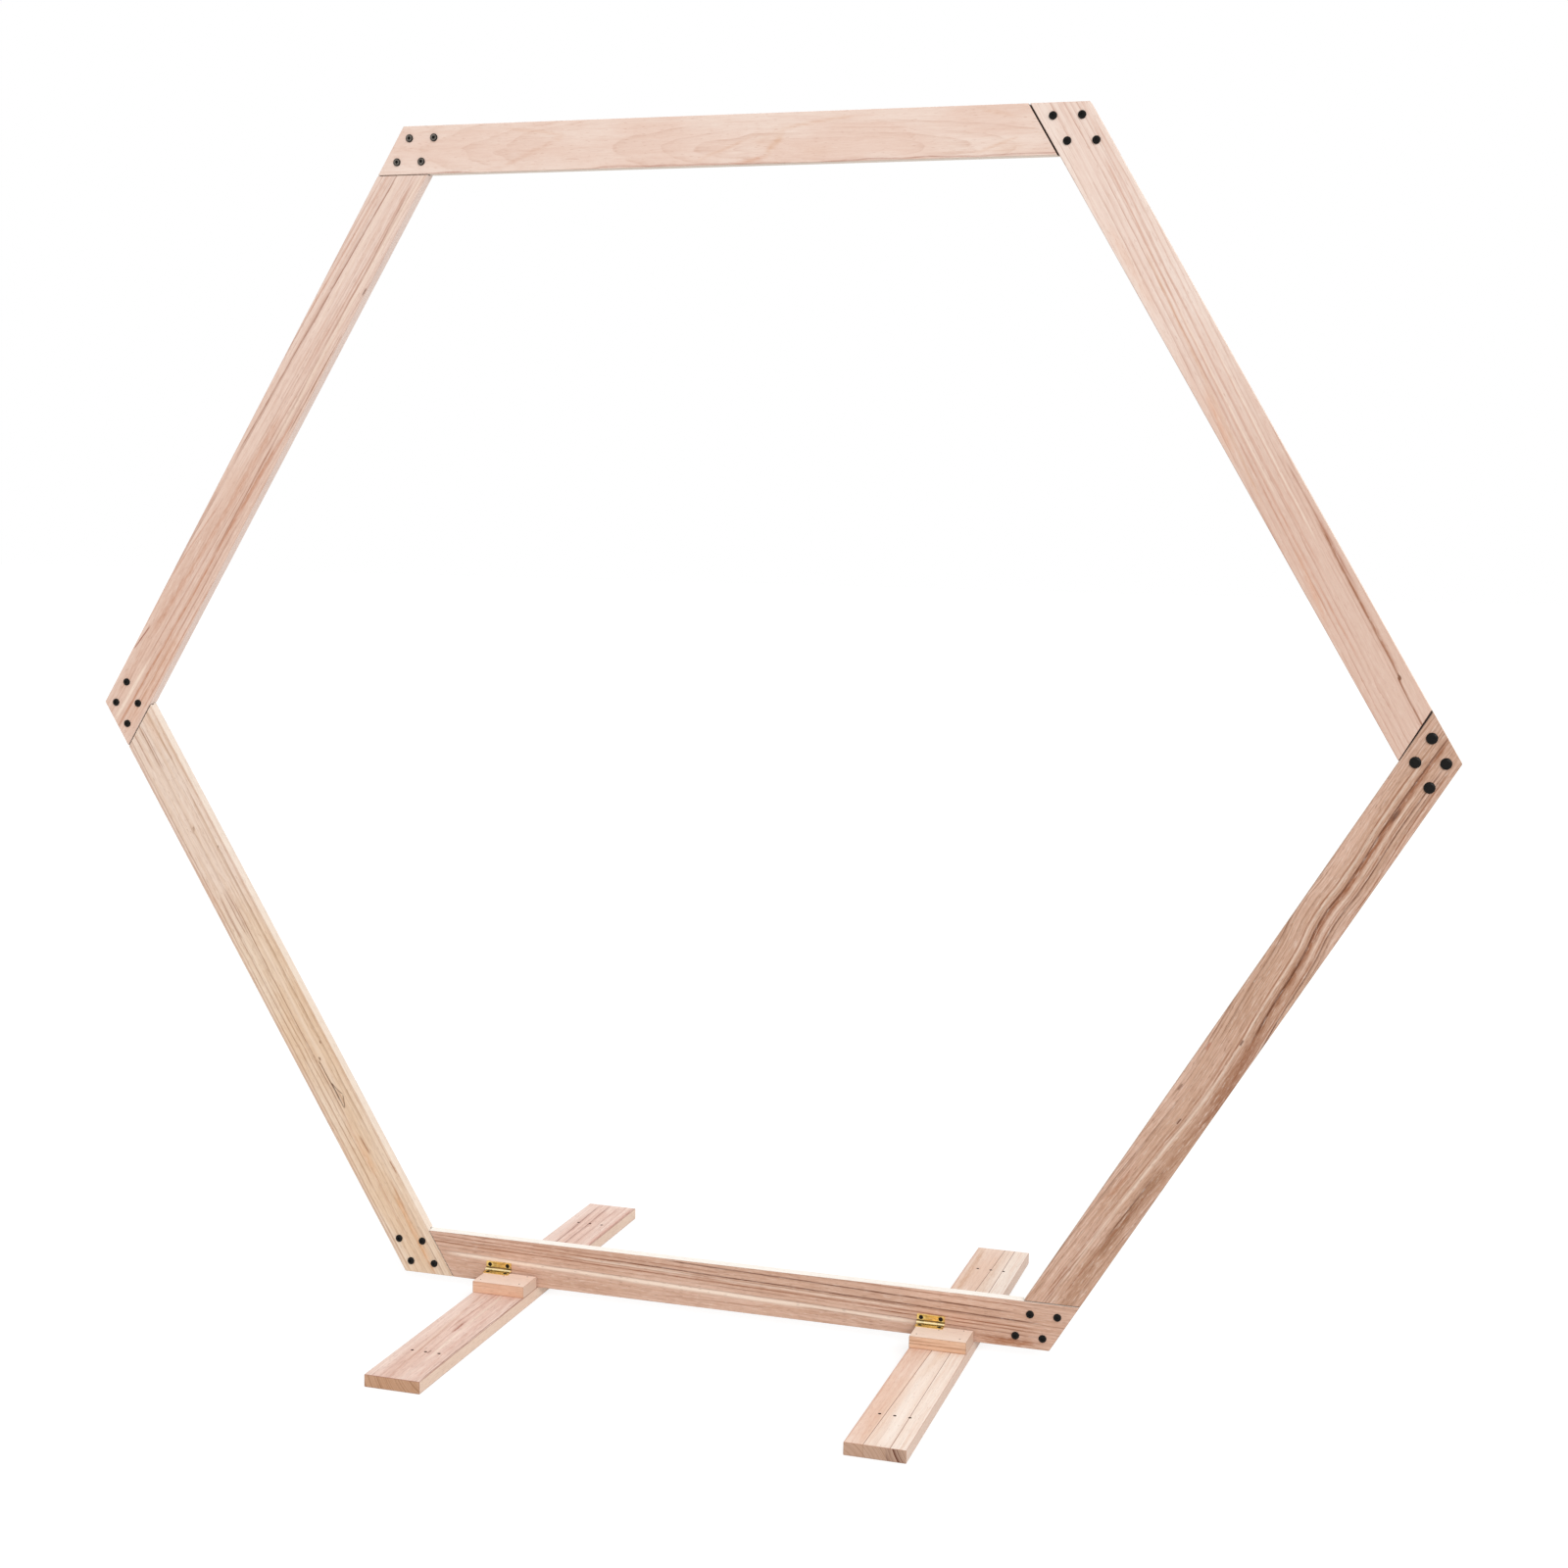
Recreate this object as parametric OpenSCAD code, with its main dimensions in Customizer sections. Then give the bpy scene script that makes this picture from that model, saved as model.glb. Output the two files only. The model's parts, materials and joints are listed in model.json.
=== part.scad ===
// Hexagonal timber arch for ceremonies, standing on two flat feet.
// Six equal boards meet in half laps with four bolts at every corner. Each foot
// carries a block in front of the bottom rail, and a small butt hinge joins the
// block's top to the rail's front face, so that the foot folds up.
// +X runs along the rails, +Y away from the front, +Z up.
// Origin: on the floor, in the middle of the width and of the board thickness.

/* [Frame] */
// Outer length of each of the six sides, mm
side_len = 1080; // [900:5:1250]
// Slope of the four legs against the floor, degrees
leg_slope = 59; // [54:0.1:63]
// Width of a frame board, mm
board_w = 74; // [66:1:95]
// Thickness of a frame board, mm
board_t = 19; // [17:0.5:26]

/* [Lap joints] */
// Shoulder gap of a tight joint, mm
gap_tight = 0.8; // [0.3:0.1:2]
// Shoulder gap of the side joint on the left, mm
gap_side = 1.6; // [0.3:0.1:5]
// Shoulder gap of the open joint at the top right, mm
gap_open = 2.2; // [0.3:0.1:6]
// Wider end of the wedge-shaped shoulder gap on the right, mm
gap_wedge = 3; // [0.3:0.1:7]
// Shoulder gap on the back, mm
gap_back = 1.2; // [0.3:0.1:4]

/* [Corner bolts] */
// Distance from a board's outer edge to its first bolt row, mm
bolt_inset = 18.5; // [14:0.5:24]
// Distance between the two bolt rows of a corner, mm
bolt_pitch = 36; // [28:0.5:40]
// Bolt head diameter, mm
head_d = 12; // [10:0.5:14]
// Bolt head height, mm
head_h = 2.2; // [1.6:0.1:3]
// Hexagon socket size across flats, mm
socket_af = 4; // [3:0.5:5]
// Bolt shank diameter, mm
shank_d = 5.8; // [5:0.1:6.4]
// Cap nut diameter, mm
cap_d = 16.5; // [13:0.5:18]
// Cap nut height, mm
cap_h = 3.2; // [2:0.1:4]
// Chamfer round a bolt head, mm
head_chamfer = 0.9; // [0.3:0.1:1.1]
// Thickness left under the socket of a bolt head, mm
socket_floor = 0.7; // [0.4:0.1:1.2]
// Height of a cap nut's straight rim, mm
cap_rim = 1.1; // [0.4:0.1:1.5]
// Diameter of the flat on top of a cap nut, mm
cap_flat_d = 7.4; // [2:0.2:10]
// Wall thickness of a cap nut's sleeve, mm
sleeve_wall = 0.95; // [0.7:0.05:1.3]
// Distance from a sleeve's end to the far face of the board, mm
sleeve_end = 6; // [4:0.5:9]
// Depth from a board's face to the closed end of the sleeve's bore, mm
cap_skin = 1.2; // [0.8:0.1:2]
// Gap from a shank's end to the closed end of the bore, mm
shank_end = 1.8; // [0.5:0.1:3]

/* [Feet] */
// Length of a foot board, front to back, mm
foot_len = 880; // [700:10:1000]
// Width of a foot board, mm
foot_w = 89; // [70:1:110]
// Thickness of a foot board, mm
foot_t = 19; // [16:0.5:26]
// Distance from the bottom rail's left end to the middle of the left foot, mm
foot_left_in = 193; // [150:1:260]
// Distance from the bottom rail's right end to the middle of the right foot, mm
foot_right_in = 161; // [150:1:260]
// Diameter of the peg holes, mm
peg_d = 5; // [3:0.5:8]
// Distance between neighbouring peg holes across a foot, mm
peg_pitch = 22; // [14:1:28]
// Distance from a foot's end to its row of peg holes, mm
peg_end = 111; // [40:1:150]

/* [Hinge blocks] */
// Depth of a block, front to back, mm
block_d = 54; // [30:1:70]
// Height of a block, mm
block_h = 19; // [18:0.5:26]

/* [Hinges] */
// Length of a hinge along its pin, mm
hinge_len = 44; // [38:1:60]
// Width of a leaf from the pin's axis to its outer edge, mm
leaf_w = 13; // [11.5:0.5:16]
// Radius of a leaf's outer corners, mm
leaf_corner = 1.5; // [0.5:0.1:2.5]
// Leaf thickness, mm
leaf_t = 1.2; // [0.8:0.1:1.5]
// Knuckle diameter, mm
knuckle_d = 5; // [4.5:0.1:5.5]
// Pin diameter, mm
pin_d = 2.4; // [1.8:0.1:2.6]
// Length of the middle knuckle, mm
knuckle_mid = 22; // [16:0.2:26]
// Gap from a block to the bottom rail, mm
block_gap = 4; // [3.8:0.1:6]
// Distance between the two screws of a leaf, mm
screw_pitch = 31; // [20:1:34]
// Screw head diameter, mm
screw_head_d = 6.8; // [5:0.1:7]
// Screw shank diameter, mm
screw_d = 3; // [2:0.1:3.2]
// Screw length, mm
screw_len = 13; // [8:1:15]
// Distance from a block's left end to the hinge, less than zero where it stands over, mm
hinge_in = -1.5; // [-3:0.5:20]
// Gap between a knuckle and the notch in the other leaf, mm
notch_gap = 0.5; // [0.3:0.1:1]
// Length of a pin's end that stands out of the knuckles, mm
pin_over = 0.3; // [0.1:0.1:1]
// Length of a screw head's cross recess, mm
cross_len = 3.8; // [2:0.1:4.4]
// Width of a screw head's cross recess, mm
cross_w = 0.8; // [0.5:0.1:1.2]
// Depth of a screw head's cross recess, mm
cross_depth = 0.6; // [0.3:0.1:1]

/* [Fits] */
// Radial clearance of the pin in the knuckles, mm
pin_clear = 0.05; // [0.02:0.01:0.09]
// Radial clearance of a shank or sleeve in its hole, mm
hole_clear = 0.15; // [0.05:0.05:0.3]
// Gap between neighbouring knuckles, mm
knuckle_gap = 0.4; // [0.2:0.1:0.8]
// Clearance of the knuckles from the wood, mm
knuckle_clear = 0.2; // [0.1:0.05:0.5]
// Extra depth of a pilot hole past the screw's tip, mm
pilot_over = 0.5; // [0.2:0.1:2]

/* [Hidden] */
// Number of straight pieces round a rounded edge
$fn = 48;
eps = 0.01;
half_top = side_len/2;
half_w = half_top + side_len*cos(leg_slope);
half_h = side_len*sin(leg_slope);
mid_z = foot_t + half_h;
half_t = board_t/2;
// Corners clockwise from the front: top left, top right, right,
// bottom right, bottom left, left. Board k runs from corner k to corner k + 1.
corners = [[-half_top, mid_z + half_h], [half_top, mid_z + half_h], [half_w, mid_z],
           [half_top, mid_z - half_h], [-half_top, mid_z - half_h], [-half_w, mid_z]];
// Shoulder gap at each corner on the front: outer end, inner end
front_gaps = [[gap_tight, gap_tight], [gap_open, gap_open], [gap_wedge, gap_tight],
              [gap_tight, gap_tight], [gap_tight, gap_tight], [gap_side, gap_side]];
sleeve_bore_d = shank_d + 2*hole_clear;
sleeve_d = sleeve_bore_d + 2*sleeve_wall;
bolt_hole_d = sleeve_d + 2*hole_clear;
sleeve_len = board_t - sleeve_end;
shank_len = board_t - cap_skin - shank_end;
front_y = -half_t;
block_back_y = front_y - block_gap;
block_top_z = foot_t + block_h;
pin_y = front_y - knuckle_clear - knuckle_d/2;
pin_z = block_top_z + knuckle_clear + knuckle_d/2;
pin_bore_d = pin_d + 2*pin_clear;
// The hinge's middle against the foot's middle
hinge_shift = -(foot_w - hinge_len)/2 + hinge_in;
// The screws sit halfway between the knuckle and the leaf's edge
screw_in = (leaf_w + knuckle_d/2)/2;
pilot_d = screw_d + 2*hole_clear;
pilot_len = screw_len - leaf_t + pilot_over;
notch_w = knuckle_d/2 + notch_gap;
foot_xs = [foot_left_in - half_top, half_top - foot_right_in];
peg_y = foot_len/2 - peg_end;

// Outline helpers, in the plane of the frame
function corner(i) = corners[(i + 6) % 6];
function run(k) = let(d = corner(k + 1) - corner(k)) d/norm(d);
function inward(k) = [run(k)[1], -run(k)[0]];
// Where the line at offset a inside side j meets the line at offset b inside side k
function cross_pt(j, a, k, b) =
    let(p = corner(j) + a*inward(j), q = corner(k) + b*inward(k), u = run(j), v = run(k),
        s = ((q[0] - p[0])*v[1] - (q[1] - p[1])*v[0])/(u[0]*v[1] - u[1]*v[0]))
    p + s*u;

module slab(points, y0, y1) {
    translate([0, y1, 0]) rotate([90, 0, 0]) linear_extrude(height = y1 - y0) polygon(points);
}

module along_y(x, z, y0, y1, d) {
    translate([x, y1, z]) rotate([90, 0, 0]) cylinder(d = d, h = y1 - y0);
}

// The four bolt places of corner i, between sides i - 1 and i
function bolt_places(i) = [for (a = [bolt_inset, bolt_inset + bolt_pitch])
    for (b = [bolt_inset, bolt_inset + bolt_pitch]) cross_pt(i - 1, a, i, b)];

// Pocket of a half lap on board k: all that lies past the shoulder line through
// points p and q, the way that dir runs along the board
module lap_pocket(k, p, q, dir, y0, y1) {
    d = (q - p)/norm(q - p);
    far = dir*3*board_w*run(k);
    slab([p - board_w*d, q + board_w*d, q + board_w*d + far, p - board_w*d + far], y0, y1);
}

// Frame board k: a blank from outer edge line to outer edge line. At its end the
// front half is cut away for board k + 1, at its start the back half for board k - 1.
module board(k) {
    g = front_gaps[(k + 1) % 6];
    difference() {
        slab([cross_pt(k, 0, k - 1, 0), cross_pt(k, 0, k + 1, 0),
              cross_pt(k, board_w, k + 1, 0), cross_pt(k, board_w, k - 1, 0)],
             -half_t, half_t);
        lap_pocket(k, cross_pt(k, 0, k + 1, board_w + g[0]),
                   cross_pt(k, board_w, k + 1, board_w + g[1]), 1, -half_t - 1, 0);
        lap_pocket(k, cross_pt(k, 0, k - 1, board_w + gap_back),
                   cross_pt(k, board_w, k - 1, board_w + gap_back), -1, 0, half_t + 1);
        for (c = [k, k + 1]) for (p = bolt_places(c))
            along_y(p[0], p[1], -half_t - 1, half_t + 1, bolt_hole_d);
    }
}

// Faces the given side: -1 puts the outside of the fastener on the front
module facing(side) {
    if (side < 0) children();
    else mirror([0, 1, 0]) children();
}

// Bolt with a low head and a hexagon socket, head on the front
module bolt(p) {
    difference() {
        union() {
            along_y(p[0], p[1], -half_t - head_h + head_chamfer, -half_t, head_d);
            translate([p[0], -half_t - head_h + head_chamfer, p[1]]) rotate([90, 0, 0])
                cylinder(d1 = head_d, d2 = head_d - 2*head_chamfer, h = head_chamfer);
            along_y(p[0], p[1], -half_t - eps, -half_t + shank_len, shank_d);
        }
        translate([p[0], -half_t - socket_floor, p[1]]) rotate([90, 0, 0])
            cylinder(d = socket_af/cos(30), h = head_h, $fn = 6);
    }
}

// Cap nut with a domed head and a sleeve, cap on the back, as one revolved profile
module cap_nut(p) {
    dome = [for (a = [0:15:90]) [(cap_flat_d + (cap_d - cap_flat_d)*cos(a))/2,
                                 cap_rim + (cap_h - cap_rim)*sin(a)]];
    translate([p[0], half_t, p[1]]) rotate([-90, 0, 0]) rotate_extrude()
        polygon(concat([[sleeve_bore_d/2, -sleeve_len], [sleeve_d/2, -sleeve_len],
                        [sleeve_d/2, 0], [cap_d/2, 0]],
                       dome,
                       [[0, cap_h], [0, -cap_skin], [sleeve_bore_d/2, -cap_skin]]));
}

// On the right the bolts come from the back, so the caps show on the front
module bolts(i) {
    color([0.12, 0.11, 0.10]) facing(i == 2 ? 1 : -1) for (p = bolt_places(i)) bolt(p);
}

module nuts(i) {
    color([0.09, 0.09, 0.09]) facing(i == 2 ? 1 : -1) for (p = bolt_places(i)) cap_nut(p);
}

module foot(x) {
    color([0.85, 0.69, 0.62])
    difference() {
        translate([x - foot_w/2, -foot_len/2, 0]) cube([foot_w, foot_len, foot_t]);
        for (s = [-1, 1]) for (n = [-1:1])
            translate([x + n*peg_pitch, s*peg_y, -1]) cylinder(d = peg_d, h = foot_t + 2);
    }
}

// Puts its child at the two screws of the upper leaf, local Z out of the rail's face
module at_rail_screws(x) {
    for (s = [-1, 1]) translate([x + hinge_shift + s*screw_pitch/2, front_y - leaf_t, pin_z + screw_in])
        rotate([90, 0, 0]) children();
}

// Puts its child at the two screws of the lower leaf, local Z up
module at_block_screws(x) {
    for (s = [-1, 1]) translate([x + hinge_shift + s*screw_pitch/2, pin_y - screw_in, block_top_z + leaf_t])
        children();
}

// Pilot hole below the leaf, for a screw whose head face is at z = 0
module pilot_hole() {
    translate([0, 0, -leaf_t - pilot_len]) cylinder(d = pilot_d, h = pilot_len + leaf_t/2);
}

// Countersunk hole through the leaf, for a screw whose head face is at z = 0
module leaf_hole() {
    translate([0, 0, -leaf_t - eps])
        cylinder(d1 = pilot_d, d2 = screw_head_d + 2*hole_clear, h = leaf_t + 2*eps);
}

// Countersunk screw with a cross recess, head face at z = 0
module leaf_screw() {
    difference() {
        union() {
            translate([0, 0, -leaf_t]) cylinder(d1 = screw_d, d2 = screw_head_d, h = leaf_t);
            translate([0, 0, -screw_len]) cylinder(d = screw_d, h = screw_len - leaf_t/2);
        }
        for (a = [0, 90]) rotate([0, 0, a])
            translate([-cross_len/2, -cross_w/2, -cross_depth]) cube([cross_len, cross_w, 1 + cross_depth]);
    }
}

module block(x) {
    color([0.80, 0.62, 0.48])
    difference() {
        translate([x - foot_w/2, block_back_y - block_d, foot_t]) cube([foot_w, block_d, block_h]);
        at_block_screws(x) pilot_hole();
    }
}

// Cylinder round the pin's axis, from x0 to x1
module barrel(x0, x1, d) {
    translate([x0, pin_y, pin_z]) rotate([0, 90, 0]) cylinder(d = d, h = x1 - x0);
}

// Leaf lying flat, its pin edge along X and its two outer corners rounded
module leaf_plate() {
    linear_extrude(height = leaf_t) {
        square([hinge_len, leaf_w - leaf_corner]);
        translate([leaf_corner, 0]) square([hinge_len - 2*leaf_corner, leaf_w]);
        for (cx = [leaf_corner, hinge_len - leaf_corner])
            translate([cx, leaf_w - leaf_corner]) circle(r = leaf_corner);
    }
}

// Upper leaf: flat on the bottom rail's front face, with the two end knuckles
module rail_leaf(x) {
    c = x + hinge_shift;
    m = knuckle_mid/2 + knuckle_gap/2;
    color([0.83, 0.66, 0.33])
    difference() {
        union() {
            translate([c - hinge_len/2, front_y, pin_z]) rotate([90, 0, 0]) leaf_plate();
            barrel(c - hinge_len/2, c - m, knuckle_d);
            barrel(c + m, c + hinge_len/2, knuckle_d);
        }
        translate([c - m, front_y - leaf_t - 1, pin_z - 1]) cube([2*m, leaf_t + 2, notch_w + 1]);
        barrel(c - hinge_len/2 - 1, c + hinge_len/2 + 1, pin_bore_d);
        at_rail_screws(x) leaf_hole();
    }
}

// Lower leaf: flat on the block's top, with the middle knuckle
module block_leaf(x) {
    c = x + hinge_shift;
    m = knuckle_mid/2 - knuckle_gap/2;
    side = hinge_len/2 - m + 1;
    color([0.83, 0.66, 0.33])
    difference() {
        union() {
            translate([c + hinge_len/2, pin_y, block_top_z]) rotate([0, 0, 180]) leaf_plate();
            barrel(c - m, c + m, knuckle_d);
        }
        for (x0 = [c - m - side, c + m])
            translate([x0, pin_y - notch_w, block_top_z - 1]) cube([side, notch_w + 1, leaf_t + 2]);
        barrel(c - hinge_len/2 - 1, c + hinge_len/2 + 1, pin_bore_d);
        at_block_screws(x) leaf_hole();
    }
}

module hinge_pin(x) {
    color([0.72, 0.56, 0.27])
    barrel(x + hinge_shift - hinge_len/2 - pin_over, x + hinge_shift + hinge_len/2 + pin_over,
           pin_d);
}

module rail_screws(x) {
    color([0.14, 0.13, 0.12]) at_rail_screws(x) leaf_screw();
}

module block_screws(x) {
    color([0.14, 0.13, 0.12]) at_block_screws(x) leaf_screw();
}

module top_rail() { color([0.93, 0.83, 0.77]) board(0); }
module upper_right_leg() { color([0.92, 0.80, 0.74]) board(1); }
module lower_right_leg() { color([0.80, 0.65, 0.56]) board(2); }
// The bottom rail also takes the screws of both upper leaves
module bottom_rail() {
    color([0.83, 0.67, 0.58])
    difference() {
        board(3);
        for (x = foot_xs) at_rail_screws(x) pilot_hole();
    }
}
module lower_left_leg() { color([0.89, 0.77, 0.64]) board(4); }
module upper_left_leg() { color([0.88, 0.74, 0.67]) board(5); }

top_rail();
upper_right_leg();
lower_right_leg();
bottom_rail();
lower_left_leg();
upper_left_leg();
bolts(0);  // bolts_top_left
bolts(1);  // bolts_top_right
bolts(2);  // bolts_right
bolts(3);  // bolts_bottom_right
bolts(4);  // bolts_bottom_left
bolts(5);  // bolts_left
nuts(0);  // nuts_top_left
nuts(1);  // nuts_top_right
nuts(2);  // nuts_right
nuts(3);  // nuts_bottom_right
nuts(4);  // nuts_bottom_left
nuts(5);  // nuts_left
foot(foot_xs[0]);  // foot_left
foot(foot_xs[1]);  // foot_right
block(foot_xs[0]);  // block_left
block(foot_xs[1]);  // block_right
rail_leaf(foot_xs[0]);  // rail_leaf_left
rail_leaf(foot_xs[1]);  // rail_leaf_right
block_leaf(foot_xs[0]);  // block_leaf_left
block_leaf(foot_xs[1]);  // block_leaf_right
hinge_pin(foot_xs[0]);  // hinge_pin_left
hinge_pin(foot_xs[1]);  // hinge_pin_right
rail_screws(foot_xs[0]);  // rail_screws_left
rail_screws(foot_xs[1]);  // rail_screws_right
block_screws(foot_xs[0]);  // block_screws_left
block_screws(foot_xs[1]);  // block_screws_right
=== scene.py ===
"""Looks of the hexagonal timber arch: planed boards, black bolts, brass hinges, a plain white studio."""
import json
import math

import bmesh
import bpy
from mathutils import Matrix, Vector


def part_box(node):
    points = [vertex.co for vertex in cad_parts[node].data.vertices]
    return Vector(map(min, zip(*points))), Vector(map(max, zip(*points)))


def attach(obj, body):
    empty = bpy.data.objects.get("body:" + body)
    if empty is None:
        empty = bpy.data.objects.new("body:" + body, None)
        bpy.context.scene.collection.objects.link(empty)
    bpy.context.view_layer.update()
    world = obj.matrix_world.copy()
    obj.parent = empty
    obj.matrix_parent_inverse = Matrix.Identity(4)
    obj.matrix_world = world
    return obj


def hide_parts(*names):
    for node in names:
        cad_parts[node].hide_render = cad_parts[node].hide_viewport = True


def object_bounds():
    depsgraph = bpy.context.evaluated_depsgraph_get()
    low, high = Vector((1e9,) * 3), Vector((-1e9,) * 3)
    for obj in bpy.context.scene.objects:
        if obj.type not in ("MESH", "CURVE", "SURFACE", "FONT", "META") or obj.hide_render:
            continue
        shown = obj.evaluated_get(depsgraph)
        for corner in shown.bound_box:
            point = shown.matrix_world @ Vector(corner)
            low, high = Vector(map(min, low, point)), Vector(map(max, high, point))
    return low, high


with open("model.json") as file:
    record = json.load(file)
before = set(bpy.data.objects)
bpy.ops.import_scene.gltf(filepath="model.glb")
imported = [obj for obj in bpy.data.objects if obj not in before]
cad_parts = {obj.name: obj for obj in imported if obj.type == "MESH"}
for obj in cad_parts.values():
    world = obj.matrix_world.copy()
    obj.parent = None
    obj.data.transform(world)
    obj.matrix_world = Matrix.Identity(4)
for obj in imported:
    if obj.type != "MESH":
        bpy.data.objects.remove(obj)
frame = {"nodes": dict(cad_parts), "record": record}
cad_low, cad_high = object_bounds()
MM = 0.001

# The ring of boards, in metres.
RAIL_HALF = 0.540
BOARD_WIDTH = 0.074
BOARD_THICK = 0.019
FRONT = -BOARD_THICK / 2
BACK = BOARD_THICK / 2
RING_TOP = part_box("top_rail")[1].z
RING_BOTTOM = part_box("bottom_rail")[0].z
RING_MIDDLE = (RING_TOP + RING_BOTTOM) / 2
RING_HALF = cad_high.x

# Corners clockwise from the top left; board k runs from corner k to corner k + 1.
CORNERS = [
    (-RAIL_HALF, RING_TOP), (RAIL_HALF, RING_TOP), (RING_HALF, RING_MIDDLE),
    (RAIL_HALF, RING_BOTTOM), (-RAIL_HALF, RING_BOTTOM), (-RING_HALF, RING_MIDDLE),
]
BOARD_LENGTH = 1080.0
BOARDS = ["top_rail", "upper_right_leg", "lower_right_leg", "bottom_rail", "lower_left_leg", "upper_left_leg"]
CORNER_NAMES = ["top_left", "top_right", "right", "bottom_right", "bottom_left", "left"]
REVERSED_CORNER = "right"

# Where the hinges' pins lie, in metres: y and z of their shared axis.
PIN_AXIS = tuple(((low + high) / 2)[k] for low, high in [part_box("hinge_pin_left")] for k in (1, 2))

# Corner bolts, in millimetres.
BOLT_INSET = 18.5
BOLT_PITCH = 36.0


# Places

def corner_point(k, y=FRONT):
    x, z = CORNERS[k % 6]
    return Vector((x, y, z))


def board_axes(k):
    """Grain direction, direction into the ring and direction into the wood of board k."""
    along = (corner_point(k + 1) - corner_point(k)).normalized()
    return along, Vector((along.z, 0, -along.x)), Vector((0, 1, 0))


def board_frame(k):
    return (corner_point(k), *board_axes(k))


def foot_frame(side):
    low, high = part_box("foot_" + side)
    return Vector((low.x, low.y, high.z)), Vector((0, 1, 0)), Vector((1, 0, 0)), Vector((0, 0, -1))


def block_frame(side):
    low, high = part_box("block_" + side)
    return Vector((low.x, low.y, high.z)), Vector((1, 0, 0)), Vector((0, 0, -1)), Vector((0, 1, 0))


def hinge_frame(side):
    low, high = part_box("rail_leaf_" + side)
    return Vector((low.x, low.y, high.z)), Vector((1, 0, 0)), Vector((0, 0, -1)), Vector((0, 1, 0))


def bolt_places(k):
    """The four bolt centres of corner k, on lines parallel to the outer edges of its two boards."""
    before, into_before, _ = board_axes(k - 1)
    after, into_after, _ = board_axes(k)
    places = []
    for a in (BOLT_INSET, BOLT_INSET + BOLT_PITCH):
        for b in (BOLT_INSET, BOLT_INSET + BOLT_PITCH):
            p = corner_point(k) + into_before * a * MM
            q = corner_point(k) + into_after * b * MM
            gap = q - p
            turn = before.x * after.z - before.z * after.x
            places.append(p + before * ((gap.x * after.z - gap.z * after.x) / turn))
    return places


# Node helpers

def paint(red, green, blue):
    """A colour as it looks on a screen, 0 to 255, as the linear colour that a shader takes."""
    def linear(value):
        value /= 255
        return value / 12.92 if value <= 0.04045 else ((value + 0.055) / 1.055) ** 2.4
    return (linear(red), linear(green), linear(blue), 1.0)


class Bench:
    """Puts nodes into one tree and joins them."""

    def __init__(self, tree):
        self.tree = tree

    def feed(self, socket, value):
        if isinstance(value, bpy.types.NodeSocket):
            self.tree.links.new(value, socket)
        elif value is not None:
            socket.default_value = value

    def put(self, kind, inputs=None, **settings):
        node = self.tree.nodes.new(kind)
        for name, value in settings.items():
            setattr(node, name, value)
        for socket, value in (inputs or {}).items():
            self.feed(node.inputs[socket], value)
        return node

    def sum(self, operation, *values, clamp=False):
        node = self.put("ShaderNodeMath", operation=operation, use_clamp=clamp)
        for socket, value in zip(node.inputs, values):
            self.feed(socket, value)
        return node.outputs[0]

    def vector(self, operation, *values):
        node = self.put("ShaderNodeVectorMath", operation=operation)
        for socket, value in zip(node.inputs, values):
            self.feed(socket, value)
        return node.outputs["Value" if operation in ("LENGTH", "DOT_PRODUCT") else "Vector"]

    def split(self, vector):
        return self.put("ShaderNodeSeparateXYZ", {0: vector}).outputs

    def join(self, x, y, z):
        return self.put("ShaderNodeCombineXYZ", {0: x, 1: y, 2: z}).outputs[0]

    def ease(self, value, start, end, low=0.0, high=1.0):
        node = self.put("ShaderNodeMapRange", {0: value, 1: start, 2: end, 3: low, 4: high},
                        interpolation_type="SMOOTHSTEP")
        return node.outputs[0]

    def blend(self, amount, one, other, how="MIX"):
        node = self.put("ShaderNodeMix", {0: amount, 6: one, 7: other}, data_type="RGBA", blend_type=how)
        return node.outputs[2]

    def noise(self, vector, scale=1.0, detail=2.0, rough=0.5, plain=True):
        node = self.put("ShaderNodeTexNoise", {"Vector": vector, "Scale": scale, "Detail": detail,
                                               "Roughness": rough})
        return node.outputs[0 if plain else 1]

    def stretch(self, vector, along, across, offset=0.0):
        """The vector at so many millimetres a cell along and across the grain."""
        moved = self.vector("ADD", vector, (offset, offset * 0.7, offset * 1.3))
        return self.vector("MULTIPLY", moved, (1 / along, 1 / across, 1 / across))


def open_group(name, inputs, outputs):
    """A node group with named inputs, and the bench to fill it at."""
    tree = bpy.data.node_groups.new(name, "ShaderNodeTree")
    for label, kind, value in inputs:
        socket = tree.interface.new_socket(label, in_out="INPUT", socket_type="NodeSocket" + kind)
        if value is not None:
            socket.default_value = value
    for label, kind in outputs:
        tree.interface.new_socket(label, in_out="OUTPUT", socket_type="NodeSocket" + kind)
    bench = Bench(tree)
    return tree, bench, bench.put("NodeGroupInput").outputs, bench.put("NodeGroupOutput").inputs


# Timber

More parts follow.
